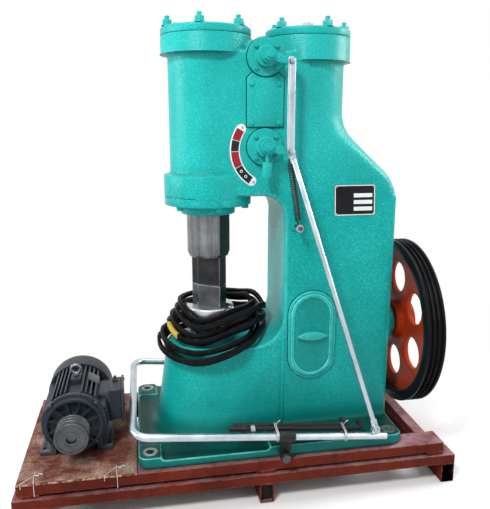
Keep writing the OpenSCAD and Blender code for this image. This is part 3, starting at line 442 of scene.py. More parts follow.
def turnTo(place, axis):
    return Matrix.Translation(place) @ Vector(axis).to_track_quat("Z", "Y").to_matrix().to_4x4()


def addDisc(bm, turn, radius, start, end, sides=24, bevel=0.0, topRadius=None):
    made = bmesh.ops.create_cone(bm, cap_ends=True, segments=sides, radius1=radius,
                                 radius2=radius if topRadius is None else topRadius, depth=end - start,
                                 matrix=turn @ Matrix.Translation((0, 0, (start + end) / 2)))["verts"]
    if bevel:
        back = turn.inverted()
        top = {v for v in made if (back @ v.co).z > end - 1e-5}
        bevelEdges(bm, {e for v in top for e in v.link_edges if e.other_vert(v) in top}, bevel)


def addRing(bm, turn, inner, outer, start, end, sides=40, bevel=0.0):
    corners = ((inner, start), (outer, start), (outer, end), (inner, end))
    verts = [bm.verts.new(turn @ Vector((r, 0, z))) for r, z in corners]
    edges = [bm.edges.new((verts[i], verts[(i + 1) % 4])) for i in range(4)]
    if bevel:
        grown = bmesh.ops.bevel(bm, geom=verts[2:], offset=bevel, offset_type="OFFSET", affect="VERTICES",
                                segments=2, profile=0.5, material=-1)
        verts = list({*verts[:2], *grown["verts"]})
        edges = list({e for v in verts for e in v.link_edges})
    axis = (turn.to_3x3() @ Vector((0, 0, 1)))
    bmesh.ops.spin(bm, geom=verts + edges, cent=turn.translation, axis=axis, angle=2 * math.pi,
                   steps=sides, use_merge=True)


sunk = 0.0006  # fixings start this far inside the face, so that no light shows under them

# in the values below a bolt is across flats, height, washer and stud, a rivet or screw is radius and height,
# and a circle of bolts is radius, first angle and count


def addBolt(bm, turn, across, height, washer=0.0, stud=0.0):
    base = -sunk
    if washer:
        addDisc(bm, turn, washer, base, 0.0022, 28, 0.0006)
        base = 0.0018
    addDisc(bm, turn, across / math.sqrt(3), base, base + height, 6, height * 0.12)
    if stud:
        addDisc(bm, turn, across * 0.29, base + height * 0.8, base + height + stud, 14, 0.0008)


def addDome(bm, turn, radius, height):
    addDisc(bm, turn, radius, -sunk, height, 24, height * 0.55)


def addBar(bm, turn, size):
    bmesh.ops.create_cube(bm, size=1, matrix=turn @ Matrix.Diagonal((*size, 1)))


def addTube(bm, points, radius, closed=False, kind="NURBS", sides=3):
    curve = bpy.data.curves.new("route", "CURVE")
    curve.dimensions = "3D"
    curve.bevel_depth = radius
    curve.bevel_resolution = sides
    curve.use_fill_caps = not closed
    spline = curve.splines.new(kind)
    spline.points.add(len(points) - 1)
    for point, place in zip(spline.points, points):
        point.co = (*place, 1)
    spline.use_cyclic_u = closed
    if kind == "NURBS":
        spline.order_u = 3
        spline.use_endpoint_u = not closed
        spline.resolution_u = 6
    route = addObject("route", curve)
    mesh = bpy.data.meshes.new_from_object(route.evaluated_get(bpy.context.evaluated_depsgraph_get()))
    bm.from_mesh(mesh)
    bpy.data.objects.remove(route)
    bpy.data.meshes.remove(mesh)


def ring(centre, radius, angle, axes="XY"):
    a = math.radians(angle)
    out = Vector(centre)
    for key, part in zip(axes, (math.cos(a), math.sin(a))):
        setattr(out, key.lower(), getattr(out, key.lower()) + radius * part)
    return out


def boltRing(bm, centre, radius, start, count, axis, *bolt):
    axes = "YZ" if axis[0] else "XZ" if axis[1] else "XY"
    for i in range(count):
        addBolt(bm, turnTo(ring(centre, radius, start + 360 * i / count, axes), axis), *bolt)


# frame casting: one skin with rolled edges; the flange ledges stay crisper than the rest
castSet = {"voxel": 0.0053, "rounds": 2, "softRounds": 5, "ease": 0.5, "crisp": 0.016,
           "workFlange": 0.050, "compFlange": 0.066, "lowFlange": 0.059, "plate": 0.022,
           "rimOut": 0.0006, "rimDeep": 0.02, "rimRound": 0.003,
           "seam": (0.1315, 0.1115, 0.295), "seamSize": (0.012, 0.022, 0.31), "seamRound": 0.004}


def makeCasting():
    block = addObject("castingRough", toMesh("castingRough", cadCopy("frame_casting")))
    remesh = block.modifiers.new("remesh", "REMESH")
    remesh.mode = "VOXEL"
    remesh.voxel_size = castSet["voxel"]
    evaluated = block.evaluated_get(bpy.context.evaluated_depsgraph_get())
    bm = bmesh.new()
    bm.from_mesh(evaluated.to_mesh())
    bpy.data.objects.remove(block)
    jointZ, lowZ = low("working_cylinder_cover").z, high("ram_guide_flange").z
    ledges = (jointZ, jointZ - castSet["workFlange"], jointZ - castSet["compFlange"],
              lowZ, lowZ + castSet["lowFlange"], low("frame_casting").z + castSet["plate"])
    soft = [v for v in bm.verts if all(abs(v.co.z - z) > castSet["crisp"] for z in ledges)]
    for verts, rounds in ((bm.verts, castSet["rounds"]), (soft, castSet["softRounds"])):
        for step in range(rounds):
            bmesh.ops.smooth_vert(bm, verts=verts, factor=castSet["ease"],
                                  use_axis_x=True, use_axis_y=True, use_axis_z=True)
    piece = addPiece("castingBody", bm, green, "machine", 60)
    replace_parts(piece, "frame_casting")
    bm = bmesh.new()
    for node, foot, top in (("working_cylinder_cover", jointZ - castSet["workFlange"], jointZ),
                            ("compressor_cover", jointZ - castSet["compFlange"], jointZ),
                            ("ram_guide_flange", lowZ, lowZ + castSet["lowFlange"])):
        radius = (high(node).x - low(node).x) / 2 + castSet["rimOut"]
        turn = turnTo((middle(node).x, middle(node).y, 0), (0, 0, 1))
        addRing(bm, turn, radius - castSet["rimDeep"], radius, foot, top, 72, castSet["rimRound"])
        under = [e for e in bm.edges if e.is_manifold and e.calc_face_angle(0) > 1.2
                 and all(abs(v.co.z - foot) < 1e-5
                         and (v.co - turn.translation).xy.length > radius - 1e-4 for v in e.verts)]
        bevelEdges(bm, under, castSet["rimRound"])
    addPiece("flangeRims", bm, recalc=True)
    bm = bmesh.new()
    x, y, z = castSet["seam"]
    for side in (-1, 1):
        addBar(bm, Matrix.Translation((x, side * y, z)), castSet["seamSize"])
    bevelEdges(bm, bm.edges[:], castSet["seamRound"], 3)
    addPiece("columnSeams", bm)


makeCasting()
print("casting made")

# CAD pieces that keep their shape and get rounded edges: finish, slot and width of the rounding
softSet = {
    (primer, "skid_primer"): {"skid_feet": 0.003, "lower_rails": 0.003, "upper_rails": 0.003,
                              "end_rails": 0.003, "tier_spacers": 0.001},
    (board, "board_wood"): {"motor_board": 0.0015},
    (green, "casting_paint"): {"crankcase_cover": 0.0032},
    (smallGreen, "casting_paint"): {"working_cylinder_cover": 0.002, "compressor_cover": 0.002,
                                    "ram_guide_flange": 0.002, "ram_gland": 0.003,
                                    "valve_chest_cover": 0.003, "upper_valve_cover": 0.0026,
                                    "lower_valve_cover": 0.0026, "crank_bearing": 0.002,
                                    "upper_valve_lever": 0.0015, "lower_valve_lever": 0.0015},
    (turned, "turned_steel"): {"anvil_cap": 0.001, "crankshaft": 0.002},
    (ramSteel, "turned_steel"): {"ram": 0.001},
    (shadedDieSteel, "die_steel"): {"upper_die": 0.002},
    (lowDieSteel, "die_steel"): {"lower_die": 0.002},
    (greyBolt, "turned_steel"): {"motor_shaft": 0.001},
    (pulleySteel, "turned_steel"): {"motor_pulley": 0.0012},
    (galvanised, "galvanised"): {"valve_link": 0.001, "treadle_rod": 0.001, "treadle_clevis": 0.001,
                                 "treadle_tube": 0.0006},
    (greyBolt, "galvanised"): {"spring_post": 0.001},
    (eyeSteel, "galvanised"): {"lifting_eye": 0.0008},
    (blackSteel, "black_steel"): {"treadle_brackets": 0.0015, "treadle_pivot_bolts": 0.0012,
                                  "foundation_bolts": 0.001},
    (wheel, "flywheel_paint"): {"flywheel": 0.0015},
    (motorPaint, "motor_paint"): {"motor_frame": 0.001, "motor_endshield": 0.0012, "fan_cowl": 0.0015,
                                  "terminal_box": 0.003, "terminal_box_lid": 0.002},
    (plateBlack, "plate_enamel"): {"nameplate": 0.0004},
    (plateWhite, "plate_enamel"): {"valve_dial": 0.0004},
}
for (material, slot), widths in softSet.items():
    for node, width in widths.items():
        softened(node, material, width)
print("edges rounded")

# painted shade: a dark outline round the covers on the near side stands in for the contact shadow at their
# edges
shadeOutlineSet = {"covers": ("crankcase_cover", "valve_chest_cover", "upper_valve_cover", "lower_valve_cover"),
             "out": 0.0022, "thick": 0.0016}


def makeShadeOutlines():
    for node in shadeOutlineSet["covers"]:
        bm = cadCopy(node)
        lo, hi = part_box(node)
        wall = Vector((middle(node).x, hi.y, middle(node).z))
        grow = [1 + 2 * shadeOutlineSet["out"] / (hi.x - lo.x), shadeOutlineSet["thick"] / (hi.y - lo.y),
                1 + 2 * shadeOutlineSet["out"] / (hi.z - lo.z), 1]
        spread = Matrix.Translation(wall) @ Matrix.Diagonal(grow) @ Matrix.Translation(-wall)
        bmesh.ops.transform(bm, matrix=spread, verts=bm.verts)
        addPiece(camel(node) + "ShadeOutline", bm, shadeOutlineDark, "machine", recalc=True)


makeShadeOutlines()
print("shadeOutlines made")

# the loose belts, and a plain paper band round one of them
beltSet = {"corner": 0.0010, "sharp": 50, "bandPlace": (-0.189, -0.0419, 0.471), "bandReach": 0.034,
           "bandThick": 0.0004}


def makeBelts():
    bm = cadCopy("drive_belts")
    bmesh.ops.join_triangles(bm, faces=bm.faces, angle_face_threshold=math.pi, angle_shape_threshold=math.pi)
    bevelEdges(bm, sharpEdges(bm, beltSet["sharp"]), beltSet["corner"])
    band = bm.copy()
    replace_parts(addPiece("driveBelts", bm, rubber, "machine", 40), "drive_belts")
    place = Vector(beltSet["bandPlace"])
    near = {f for f in band.faces if (f.calc_center_median() - place).length < beltSet["bandReach"]}
    kept = {min(near, key=lambda f: (f.calc_center_median() - place).length)}
    while True:  # one belt only: grow over the faces that join
        grown = {g for f in kept for e in f.edges for g in e.link_faces if g in near} - kept
        if not grown:
            break
        kept |= grown
    bmesh.ops.delete(band, geom=[f for f in band.faces if f not in kept], context="FACES")
    bmesh.ops.solidify(band, geom=band.faces[:], thickness=-beltSet["bandThick"])
    addPiece("paperBand", band, paperBand, "machine", 40, recalc=True)


makeBelts()
print("belts made")

nutSet = {"nut": (0.024, 0.014, 0.0165, 0.010), "work": (0.112, 15, 6), "comp": (0.107, 212, 5),
          "guide": (0.112, -142, 6), "guideBolt": (0.019, 0.012)}


def makeCoverNuts():
    bm = bmesh.new()
    for node, circle in (("working_cylinder_cover", "work"), ("compressor_cover", "comp")):
        top = middle(node)
        top.z = high(node).z
        boltRing(bm, top, *nutSet[circle], (0, 0, 1), *nutSet["nut"])
    addPiece("coverNuts", bm)
    bm = bmesh.new()
    under = middle("ram_guide_flange")
    under.z = low("ram_guide_flange").z
    boltRing(bm, under, *nutSet["guide"], (0, 0, -1), *nutSet["guideBolt"])
    addPiece("guideBolts", bm)


makeCoverNuts()

plugSet = {"radius": 0.016, "neck": 0.011, "height": 0.023, "rim": 0.006, "round": 0.003}


def makeBreather():
    place = middle("compressor_cover")
    place.z = high("compressor_cover").z
    turn = turnTo(place, (0, 0, 1))
    bm = bmesh.new()
    tall, rim = plugSet["height"], plugSet["rim"]
    addDisc(bm, turn, plugSet["neck"], -sunk, tall - rim, 6)
    addDisc(bm, turn, plugSet["radius"], tall - rim * 2, tall, 28, plugSet["round"])
    addPiece("breatherPlug", bm, plugPlastic, "machine")


makeBreather()
print("cover nuts and breather made")

valveSet = {"circle": (0.040, 45, 4), "bolt": (0.011, 0.007), "plateFront": 0.010,
            "nut": (0.026, 0.011, 0.0, 0.007), "hubProud": 0.0012,
            "pinInset": 0.0105, "pinCap": (0.0078, 0.006), "pinCapSunk": 0.0035,
            "chestInset": 0.012, "chestScrew": (0.0075, 0.004)}
valveAxis = {"upper": middle("upper_valve_cover"), "lower": middle("lower_valve_cover")}
linkPins = {"upper": Vector((middle("valve_link").x, 0, high("valve_link").z - valveSet["pinInset"])),
            "lower": Vector((middle("valve_link").x, 0, low("valve_link").z + valveSet["pinInset"]))}


def makeValveFixings():
    bm = bmesh.new()
    panel = high("lower_valve_cover").y
    for centre in valveAxis.values():
        face = (centre.x, panel - valveSet["plateFront"], centre.z)
        boltRing(bm, face, *valveSet["circle"], (0, -1, 0), *valveSet["bolt"])
    lo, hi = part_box("valve_chest_cover")
    for x in (lo.x + valveSet["chestInset"], hi.x - valveSet["chestInset"]):
        for z in (lo.z + valveSet["chestInset"], hi.z - 2.4 * valveSet["chestInset"]):
            addDome(bm, turnTo((x, lo.y, z), (0, -1, 0)), *valveSet["chestScrew"])
    addPiece("valveBolts", bm)
    for side in ("upper", "lower"):
        axis, pin = valveAxis[side], linkPins[side]
        bm = bmesh.new()
        front = high("valve_link").y - valveSet["hubProud"]
        addBolt(bm, turnTo((axis.x, front, axis.z), (0, -1, 0)), *valveSet["nut"])
        addPiece(side + "SpindleNut", bm, smallGreen, side + "_lever")
        bm = bmesh.new()
        end = low(side + "_valve_lever").y + valveSet["pinCapSunk"]
        addDome(bm, turnTo((pin.x, end, pin.z), (0, -1, 0)), *valveSet["pinCap"])
        addPiece(side + "PinCap", bm, brightBolt, side + "_lever")


makeValveFixings()
print("valve bolts made")

dialSet = {"offset": (0.0155, -0.0085), "inner": 0.0895, "outer": 0.1105, "raise": 0.0006, "deep": 0.0003,
           "bounds": (146, 164.6, 181.9, 206.9, 237), "gap": 0.5, "spot": 0.0042, "spotAngles": (215, 226),
           "spotDeep": 0.0002, "spotProud": 0.0004, "rivet": (0.0032, 0.002), "rivetAngles": (142, 242)}


def makeDial():
    axis, (offsetX, offsetZ) = valveAxis["lower"], dialSet["offset"]
    centre = Vector((axis.x + offsetX, low("valve_dial").y, axis.z + offsetZ))
    bounds, inner, outer, proud = (dialSet[key] for key in ("bounds", "inner", "outer", "raise"))
    midRing = (inner + outer) / 2
    for name, material, first in (("dialRedFields", dialRed, 0), ("dialBlackFields", plateBlack, 1)):
        bm = bmesh.new()
        for i in (first, first + 2):
            start, end = bounds[i] + dialSet["gap"], bounds[i + 1] - dialSet["gap"]
            corners = ((inner, dialSet["deep"]), (outer, dialSet["deep"]), (outer, -proud), (inner, -proud))
            verts = [bm.verts.new(ring(centre, r, start, "XZ") + Vector((0, y, 0))) for r, y in corners]
            bmesh.ops.spin(bm, geom=[bm.faces.new(verts)], cent=centre, axis=(0, -1, 0),
                           angle=math.radians(end - start), steps=max(4, round((end - start) / 3)))
        addPiece(name, bm, material, "machine", recalc=True)
    bm = bmesh.new()
    for angle in dialSet["spotAngles"]:
        turn = turnTo(ring(centre, midRing, angle, "XZ"), (0, -1, 0))
        addRing(bm, turn, dialSet["spot"] * 0.55, dialSet["spot"], proud - dialSet["spotDeep"],
                proud + dialSet["spotProud"], 20)
    addPiece("dialSpots", bm, plateWhite, "machine", recalc=True)
    bm = bmesh.new()
    for angle in dialSet["rivetAngles"]:
        turn = turnTo(ring(centre, midRing, angle, "XZ"), (0, -1, 0))
        addDome(bm, turn, *dialSet["rivet"])
    addPiece("dialRivets", bm, brightBolt, "machine")


makeDial()

plateSet = {"border": 0.0016, "line": 0.0026, "raise": 0.0004, "fieldX": (0.47, 0.93),
            "fieldRows": (0.15, 0.37, 0.59), "fieldHigh": 0.13, "rivet": (0.0030, 0.002),
            "rivetInset": 0.0045}


def makeNameplate():
    mesh = cad["nameplate"].data
    front = max((p for p in mesh.polygons if p.normal.y < -0.9), key=lambda p: p.area)
    across, out = Vector((1, 0, 0)), front.normal.copy()
    up = across.cross(out) * -1
    points = [v.co for v in mesh.vertices]
    corner = Vector((min(p.x for p in points), 0, 0)) + out * max(p.dot(out) for p in points)
    corner += up * (min(p.dot(up) for p in points) - corner.dot(up))
    corner += out * (max(p.dot(out) for p in points) - corner.dot(out))
    wide = max(p.x for p in points) - min(p.x for p in points)
    tall = max(p.dot(up) for p in points) - min(p.dot(up) for p in points)
    grid = Matrix((across, up, out)).transposed().to_4x4()

    def patch(bm, x, y, sizeX, sizeY):
        place = corner + across * x + up * y
        addBar(bm, Matrix.Translation(place) @ grid, (sizeX, sizeY, 2 * plateSet["raise"]))

    bm = bmesh.new()
    for y in (plateSet["border"], tall - plateSet["border"]):
        patch(bm, wide / 2, y, wide - 2 * plateSet["border"], plateSet["line"])
    for x in (plateSet["border"], wide - plateSet["border"]):
        patch(bm, x, tall / 2, plateSet["line"], tall - 2 * plateSet["border"])
    (start, end), fieldHigh = plateSet["fieldX"], plateSet["fieldHigh"]
    for row in plateSet["fieldRows"]:
        patch(bm, wide * (start + end) / 2, tall * (row + fieldHigh / 2),
              wide * (end - start), tall * fieldHigh)
    addPiece("plateFields", bm, plateWhite, "machine")
    bm = bmesh.new()
    inset = plateSet["rivetInset"]
    for x in (inset, wide - inset):
        for y in (inset, tall - inset):
            addDome(bm, turnTo(corner + across * x + up * y, out), *plateSet["rivet"])
    addPiece("plateRivets", bm, brightBolt, "machine")


makeNameplate()
print("dial and nameplate made")

baseSet = {"hole": 0.0115, "spot": 0.0215, "holeX": 0.033, "holeY": 0.035, "padTop": 0.036,
           "spotDeep": 0.004, "spotProud": 0.0008, "spotRound": 0.0005, "shadeDeep": 0.034, "shadeTop": 0.012}


def makeHoldDowns():
    lo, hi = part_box("frame_casting")
    top = lo.z + baseSet["padTop"]
    rings, holes = bmesh.new(), bmesh.new()
    for x in (lo.x + baseSet["holeX"], hi.x - baseSet["holeX"]):
        for y in (lo.y + baseSet["holeY"], hi.y - baseSet["holeY"]):
            turn = turnTo((x, y, top), (0, 0, 1))
            addRing(rings, turn, baseSet["hole"], baseSet["spot"], -baseSet["spotDeep"],
                    baseSet["spotProud"], 40, baseSet["spotRound"])
            # a dark disc a little way down each bolt hole is painted shade
            addDisc(holes, turn, baseSet["hole"] * 0.99, -baseSet["shadeDeep"], -baseSet["shadeTop"], 24)
    addPiece("spotFaces", rings, spotSteel, "machine", recalc=True)
    addPiece("holdDownHoleShade", holes, shadeBlack, "machine")


makeHoldDowns()

springSet = {"radius": 0.0076, "wire": 0.0018, "turns": 34, "steps": 12, "lead": 0.014, "flex": 0.055,
             "boss": 0.017, "bossHigh": 0.006, "bossDeep": 0.003, "bossRound": 0.003, "wallY": -0.1179,
             "washer": 0.0112, "washerHigh": 0.0022, "bolt": (0.012, 0.006)}


def makeSpring():
    lo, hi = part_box("return_spring")
    post = middle("spring_post")
    top = Vector((linkPins["lower"].x, middle("return_spring").y, hi.z))
    foot = Vector((post.x, top.y, lo.z))
    axis = foot - top
    length = axis.length
    r, wire, lead = springSet["radius"], springSet["wire"], springSet["lead"]
    coil = length - 2 * lead
    bm = bmesh.new()
    wireStart = Matrix.Translation((r, 0, lead)) @ Matrix.Rotation(math.pi / 2, 4, "X")
    bmesh.ops.create_circle(bm, segments=8, radius=wire, matrix=wireStart)
    steps = springSet["turns"] * springSet["steps"]
    bmesh.ops.spin(bm, geom=bm.verts[:] + bm.edges[:], cent=(0, 0, 0), axis=(0, 0, 1),
                   dvec=(0, 0, coil / steps), angle=2 * math.pi * springSet["turns"], steps=steps)
    bmesh.ops.holes_fill(bm, edges=[e for e in bm.edges if e.is_boundary], sides=8)
    for start, end in ((lead, 0.0), (length - lead, length)):
        step = (end - start) / 4
        hook = [(r, 0, start), (r * 0.9, -r * 0.4, start + step), (0, 0, start + 2 * step), (0, 0, end)]
        addTube(bm, hook, wire)
    bmesh.ops.transform(bm, matrix=turnTo(top, axis), verts=bm.verts)
    piece = addPiece("returnSpring", bm, springSteel, None, 60, recalc=True)
    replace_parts(piece, "return_spring")
    bm = bmesh.new()
    wall = turnTo((post.x, springSet["wallY"], post.z), (0, -1, 0))
    addDisc(bm, wall, springSet["boss"], -springSet["bossDeep"], springSet["bossHigh"], 28,
            springSet["bossRound"])
    addPiece("springBoss", bm)
    turn = turnTo((post.x, low("spring_post").y, post.z), (0, -1, 0))
    bm = bmesh.new()
    addDisc(bm, turn, springSet["washer"], -sunk, springSet["washerHigh"], 28, 0.0006)
    addPiece("springWasher", bm, brightBolt, "machine")
    bm = bmesh.new()
    addBolt(bm, turn @ Matrix.Translation((0, 0, springSet["washerHigh"])), *springSet["bolt"])
    addPiece("springBolt", bm, greyBolt, "machine")
    return piece, top + axis * springSet["flex"] / length, top


springPiece, springBend, springTop = makeSpring()
print("spring made")

motorSet = {"circle": (0.0855, 45, 4), "shieldBolt": (0.009, 0.006), "shieldFlange": 0.013,
            "lidInset": 0.010, "lidScrew": (0.0042, 0.0028),
            "glandRadius": 0.007, "glandHeight": 0.018, "glandY": 0.014,
            "plate": (0.052, 0.036, 0.0016), "plateLean": 58, "plateOut": 0.0935, "plateY": 0.02,
            "pulleyRings": ((0.020, 0.0225), (0.0385, 0.0405)), "ringProud": 0.0012,
            "key": (0.006, 0.009, 0.004), "keyUp": 0.0135}


def makeMotorFixings():
    axis = middle("motor_pulley")
    body = middle("motor_frame")
    bm = bmesh.new()
    flange = high("motor_endshield").y - motorSet["shieldFlange"]
    boltRing(bm, (axis.x, flange, axis.z), *motorSet["circle"], (0, -1, 0), *motorSet["shieldBolt"])
    lo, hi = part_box("terminal_box_lid")
    for y in (lo.y + motorSet["lidInset"], hi.y - motorSet["lidInset"]):
        for z in (lo.z + motorSet["lidInset"], hi.z - motorSet["lidInset"]):
            addDome(bm, turnTo((hi.x, y, z), (1, 0, 0)), *motorSet["lidScrew"])
    boxMid, boxTop = middle("terminal_box"), high("terminal_box").z
    gland = turnTo((boxMid.x, boxMid.y + motorSet["glandY"], boxTop), (0, 0, 1))
    tall = motorSet["glandHeight"]
    addBolt(bm, gland, 2.2 * motorSet["glandRadius"], tall * 0.45, 0.0, tall * 0.55)
    addPiece("motorBolts", bm, greyBolt, "machine")
    bm = bmesh.new()
    lean = math.radians(motorSet["plateLean"])
    out = Vector((math.cos(lean), 0, math.sin(lean)))
    turn = turnTo(Vector((axis.x, body.y + motorSet["plateY"], axis.z)) + out * motorSet["plateOut"], out)
    addBar(bm, turn, motorSet["plate"])
    bevelEdges(bm, bm.edges[:], 0.0004)
    addPiece("motorPlate", bm, greyBolt, "machine")
    bm = bmesh.new()
    front = turnTo((axis.x, low("motor_pulley").y, axis.z), (0, -1, 0))
    for inner, outer in motorSet["pulleyRings"]:
        addRing(bm, front, inner, outer, -sunk, motorSet["ringProud"], 48, 0.0004)
    addPiece("pulleyRings", bm, pulleySteel, "rotor", recalc=True)
    bm = bmesh.new()
    keyPlace = Vector((axis.x, low("motor_pulley").y + motorSet["key"][1] / 2, axis.z + motorSet["keyUp"]))
    addBar(bm, Matrix.Translation(keyPlace), motorSet["key"])
    bevelEdges(bm, bm.edges[:], 0.0005)
    addPiece("pulleyKey", bm, greyBolt, "rotor")


makeMotorFixings()
print("motor fixings made")

crankSet = {"circle": (0.068, 30, 6), "bolt": (0.018, 0.011), "flange": 0.014, "endHole": 0.008,
            "endDeep": 0.001, "endProud": 0.0006, "keyWide": 0.014, "keyHigh": 0.009, "keyOut": 0.005}


def makeCrankFixings():
    axis = middle("flywheel")
    bm = bmesh.new()
    face = low("crank_bearing").x + crankSet["flange"]
    boltRing(bm, (face, 0, axis.z), *crankSet["circle"], (1, 0, 0), *crankSet["bolt"])
    addPiece("bearingBolts", bm)
    bm = bmesh.new()
    end = turnTo((high("crankshaft").x, 0, axis.z), (1, 0, 0))
    hole = crankSet["endHole"]
    addRing(bm, end, hole, hole * 1.5, -crankSet["endDeep"], crankSet["endProud"], 24)
    shaftRadius = (high("crankshaft").z - low("crankshaft").z) / 2
    key = (2 * crankSet["keyOut"], crankSet["keyWide"], crankSet["keyHigh"])
    addBar(bm, Matrix.Translation((high("flywheel").x, 0, axis.z + shaftRadius)), key)
    addPiece("crankKey", bm, turned, "wheel", recalc=True)


makeCrankFixings()

treadleSet = {"slope": 5.3, "rise": 0.0585, "tieAt": (-0.030, 0.172), "tube": 0.011, "rod": 0.007,
              "rodY": (0.0179, 0.0356), "rodZ": 0.0150, "wire": 0.0012, "slack": 0.002, "apart": 0.002,
              "tail": ((0, 0, 0), (0.006, -0.004, 0.010), (0.002, -0.012, 0.016), (0.010, -0.015, 0.024)),
              "head": (0.024, 0.008), "clevisNut": (0.016, 0.007), "pinDown": 0.012, "pinSunk": 0.003,
              "loose": 0.062, "looseLong": 0.012}


def makeTreadleFixings():
    pivot = middle("treadle_pivot_bolts")
    armY = low("treadle_tube").y + treadleSet["tube"]
    slope = math.radians(treadleSet["slope"])
    bm = bmesh.new()
    near, far = treadleSet["rodY"]
    for at in treadleSet["tieAt"]:
        x = pivot.x + at * math.cos(slope) + treadleSet["rise"] * math.sin(slope)
        z = pivot.z - at * math.sin(slope) + treadleSet["rise"] * math.cos(slope)
        t, r = (treadleSet[key] + treadleSet["slack"] for key in ("tube", "rod"))
        top = z + treadleSet["rodZ"]
        for shift in (-treadleSet["apart"], treadleSet["apart"]):
            loop = [(armY - t, z), (armY - 0.6 * t, z - t), (armY + 0.5 * t, z - t),
                    (armY + far, top - 1.2 * r), (armY + far + r, top), (armY + far, top + r),
                    (armY + near, top + r), (armY - 0.9 * t, z + t)]
            points = [(x + shift + 0.003 * (i % 2), y, h) for i, (y, h) in enumerate(loop)]
            addTube(bm, points, treadleSet["wire"], True)
        tail = [(x + a, armY + near + b, top + r + c) for a, b, c in treadleSet["tail"]]
        addTube(bm, tail, treadleSet["wire"])
    addPiece("boltTies", bm, tieWire, "treadle", 60)
    bm = bmesh.new()
    for face, side in ((low("treadle_pivot_bolts").y, -1), (high("treadle_pivot_bolts").y, 1)):
        addBolt(bm, turnTo((pivot.x, face, pivot.z), (0, side, 0)), *treadleSet["head"])
    addPiece("pivotHeads", bm, greyBolt, "machine")
    bm = bmesh.new()
    pin = Vector((middle("treadle_clevis").x, 0, high("treadle_clevis").z - treadleSet["pinDown"]))
    inset = treadleSet["pinSunk"]
    for face, side in ((low("treadle_clevis").y + inset, -1), (high("treadle_clevis").y - inset, 1)):
        addBolt(bm, turnTo((pin.x, face, pin.z), (0, side, 0)), *treadleSet["clevisNut"])
    addPiece("clevisNuts", bm, brightBolt, "treadle")
    bm = bmesh.new()
    lo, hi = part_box("foundation_bolts")
    rod = treadleSet["rod"]
    place = Vector((lo.x + treadleSet["loose"], lo.y + rod * 2, hi.z - rod * 2.4))
    addRing(bm, turnTo(place, (1, 0, 0)), rod, rod * 1.75, 0, treadleSet["looseLong"], 24, 0.001)
    addPiece("bundleCollar", bm, brightBolt, "treadle", recalc=True)


makeTreadleFixings()
print("treadle fixings made")

tieSet = {"places": (-0.584, -0.366), "strands": ((-0.030, 0.35), (0.004, 1.0)), "wire": 0.0010,
          "out": 0.0013, "inside": 0.034, "under": 0.010, "back": 0.080, "backDown": 0.004,
          "tailIn": 0.030,
          "tail": ((0.0, 0.0, 0.002), (0.006, -0.004, 0.010), (0.013, -0.010, 0.005),
                   (0.016, -0.004, 0.014), (0.026, -0.012, 0.012))}


def makeSkidTies():
    bm = bmesh.new()
    rail, boardTop, out = low("upper_rails"), high("motor_board").z, tieSet["out"]
    edge = low("motor_board").y
    for top in tieSet["places"]:
        for spread, depth in tieSet["strands"]:  # one goes round the board, one round the rail too
            foot, under = top + spread, boardTop + depth * (rail.z - out - boardTop)
            back = edge + tieSet["back"]
            loop = [(top, edge + tieSet["inside"], boardTop + out), (foot, edge - out, boardTop + out),
                    (foot, edge - out, under), (foot, edge + tieSet["under"], under), (top, back, under),
                    (top, back, boardTop - tieSet["backDown"])]
            addTube(bm, loop, tieSet["wire"], True, "POLY")
        tail = [(top + x, edge + tieSet["tailIn"] + y, boardTop + z) for x, y, z in tieSet["tail"]]
        addTube(bm, tail, tieSet["wire"])
    addPiece("skidTies", bm, tieWire, "machine", 60)


makeSkidTies()
print("skid ties made")

footSet = {"inside": 0.014, "wide": 0.032, "thin": 0.002, "high": 0.052, "half": 0.020, "midX": 0.056}


def makeTubeShade():  # painted shade: a dark plug sits a little way into each open tube end
    bm = bmesh.new()
    lo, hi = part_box("skid_feet")
    for x in (lo.x + footSet["half"], footSet["midX"], hi.x - footSet["half"]):
        for y in (lo.y + footSet["inside"], hi.y - footSet["inside"]):
            place = Matrix.Translation((x, y, (lo.z + hi.z) / 2))
            addBar(bm, place, (footSet["wide"], footSet["thin"], footSet["high"]))
    addPiece("tubeShade", bm, shadeBlack, "machine")


makeTubeShade()

stageSet = {"floor": (0.90, 0.90, 0.90), "floorSize": 14, "floorDown": 0.0005, "world": 0.33,
            "fadeStart": 0.34, "fadeEnd": 0.72, "squeeze": (0.52, 1.0, 1.0)}


def seenRays(tree):  # 1 for what the camera sees, directly or in a reflection
    rays = tree.nodes.new("ShaderNodeLightPath").outputs
    seen = rays["Is Camera Ray"]
    for key in ("Is Glossy Ray", "Is Transmission Ray"):
        either = tree.nodes.new("ShaderNodeMath")
        either.operation = "MAXIMUM"
        tree.links.new(seen, either.inputs[0])
        tree.links.new(rays[key], either.inputs[1])
        seen = either.outputs[0]
    return seen


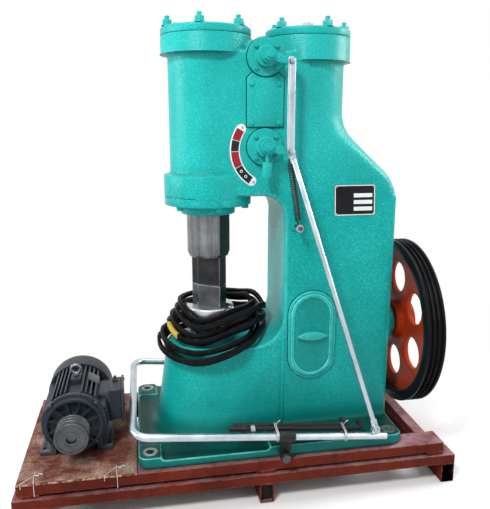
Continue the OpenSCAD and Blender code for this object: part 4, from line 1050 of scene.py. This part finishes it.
def makeFloor():
    f = Finish("paleFloor")
    f.done(stageSet["floor"], 0.9)
    oval = f.putAll(f.add("ShaderNodeMapping"), Vector=f.place, Scale=stageSet["squeeze"])
    distance = f.add("ShaderNodeVectorMath", operation="LENGTH")
    f.put(distance, 0, oval.outputs["Vector"])
    span = f.add("ShaderNodeMapRange", interpolation_type="SMOOTHSTEP")
    f.putAll(span, Value=distance.outputs["Value"], From_Min=stageSet["fadeStart"],
             From_Max=stageSet["fadeEnd"])
    white = f.add("ShaderNodeEmission")
    mixer = f.add("ShaderNodeMixShader")
    f.put(mixer, 0, f.times(span.outputs["Result"], seenRays(f.tree)))
    f.put(mixer, 1, f.shader.outputs["BSDF"])
    f.put(mixer, 2, white.outputs["Emission"])
    f.put(f.tree.nodes["Material Output"], "Surface", mixer.outputs["Shader"])
    bm = bmesh.new()
    bmesh.ops.create_grid(bm, x_segments=1, y_segments=1, size=stageSet["floorSize"],
                          matrix=Matrix.Translation((0, 0, -stageSet["floorDown"])))
    floor = addObject("floor", toMesh("floor", bm))
    floor.data.materials.append(f.material)


# each lamp's place, size and power; all of them point at aim
lampSet = {"key": ((-1.5, -2.1, 3.3), 0.7, 104), "fill": ((2.6, -2.2, 1.7), 2.2, 17),
           "top": ((0.2, 0.6, 3.4), 2.4, 34), "right": ((2.1, 0.05, 1.8), 0.9, 30),
           "left": ((-2.3, 0.1, 1.35), 0.7, 24)}
aim = Vector((0, 0, 0.6))


def makeLights():
    for name, (place, size, power) in lampSet.items():
        light = bpy.data.lights.new(name, "AREA")
        light.size = size
        light.energy = power
        lamp = addObject(name, light)
        lamp.location = place
        lamp.rotation_mode = "QUATERNION"
        lamp.rotation_quaternion = (aim - Vector(place)).to_track_quat("-Z", "Y")
    world = bpy.data.worlds.new("studio")
    bpy.context.scene.world = world
    world.use_nodes = True
    tree = world.node_tree
    level = tree.nodes.new("ShaderNodeMapRange")
    level.inputs["To Min"].default_value = stageSet["world"]
    level.inputs["To Max"].default_value = 1.0
    tree.links.new(seenRays(tree), level.inputs["Value"])
    tree.links.new(level.outputs["Result"], tree.nodes["Background"].inputs["Strength"])
    tree.nodes["Background"].inputs["Color"].default_value = (1, 1, 1, 1)
    bpy.context.scene.view_settings.view_transform = "Standard"


makeFloor()
makeLights()
print("stage and light set")

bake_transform(springPiece)
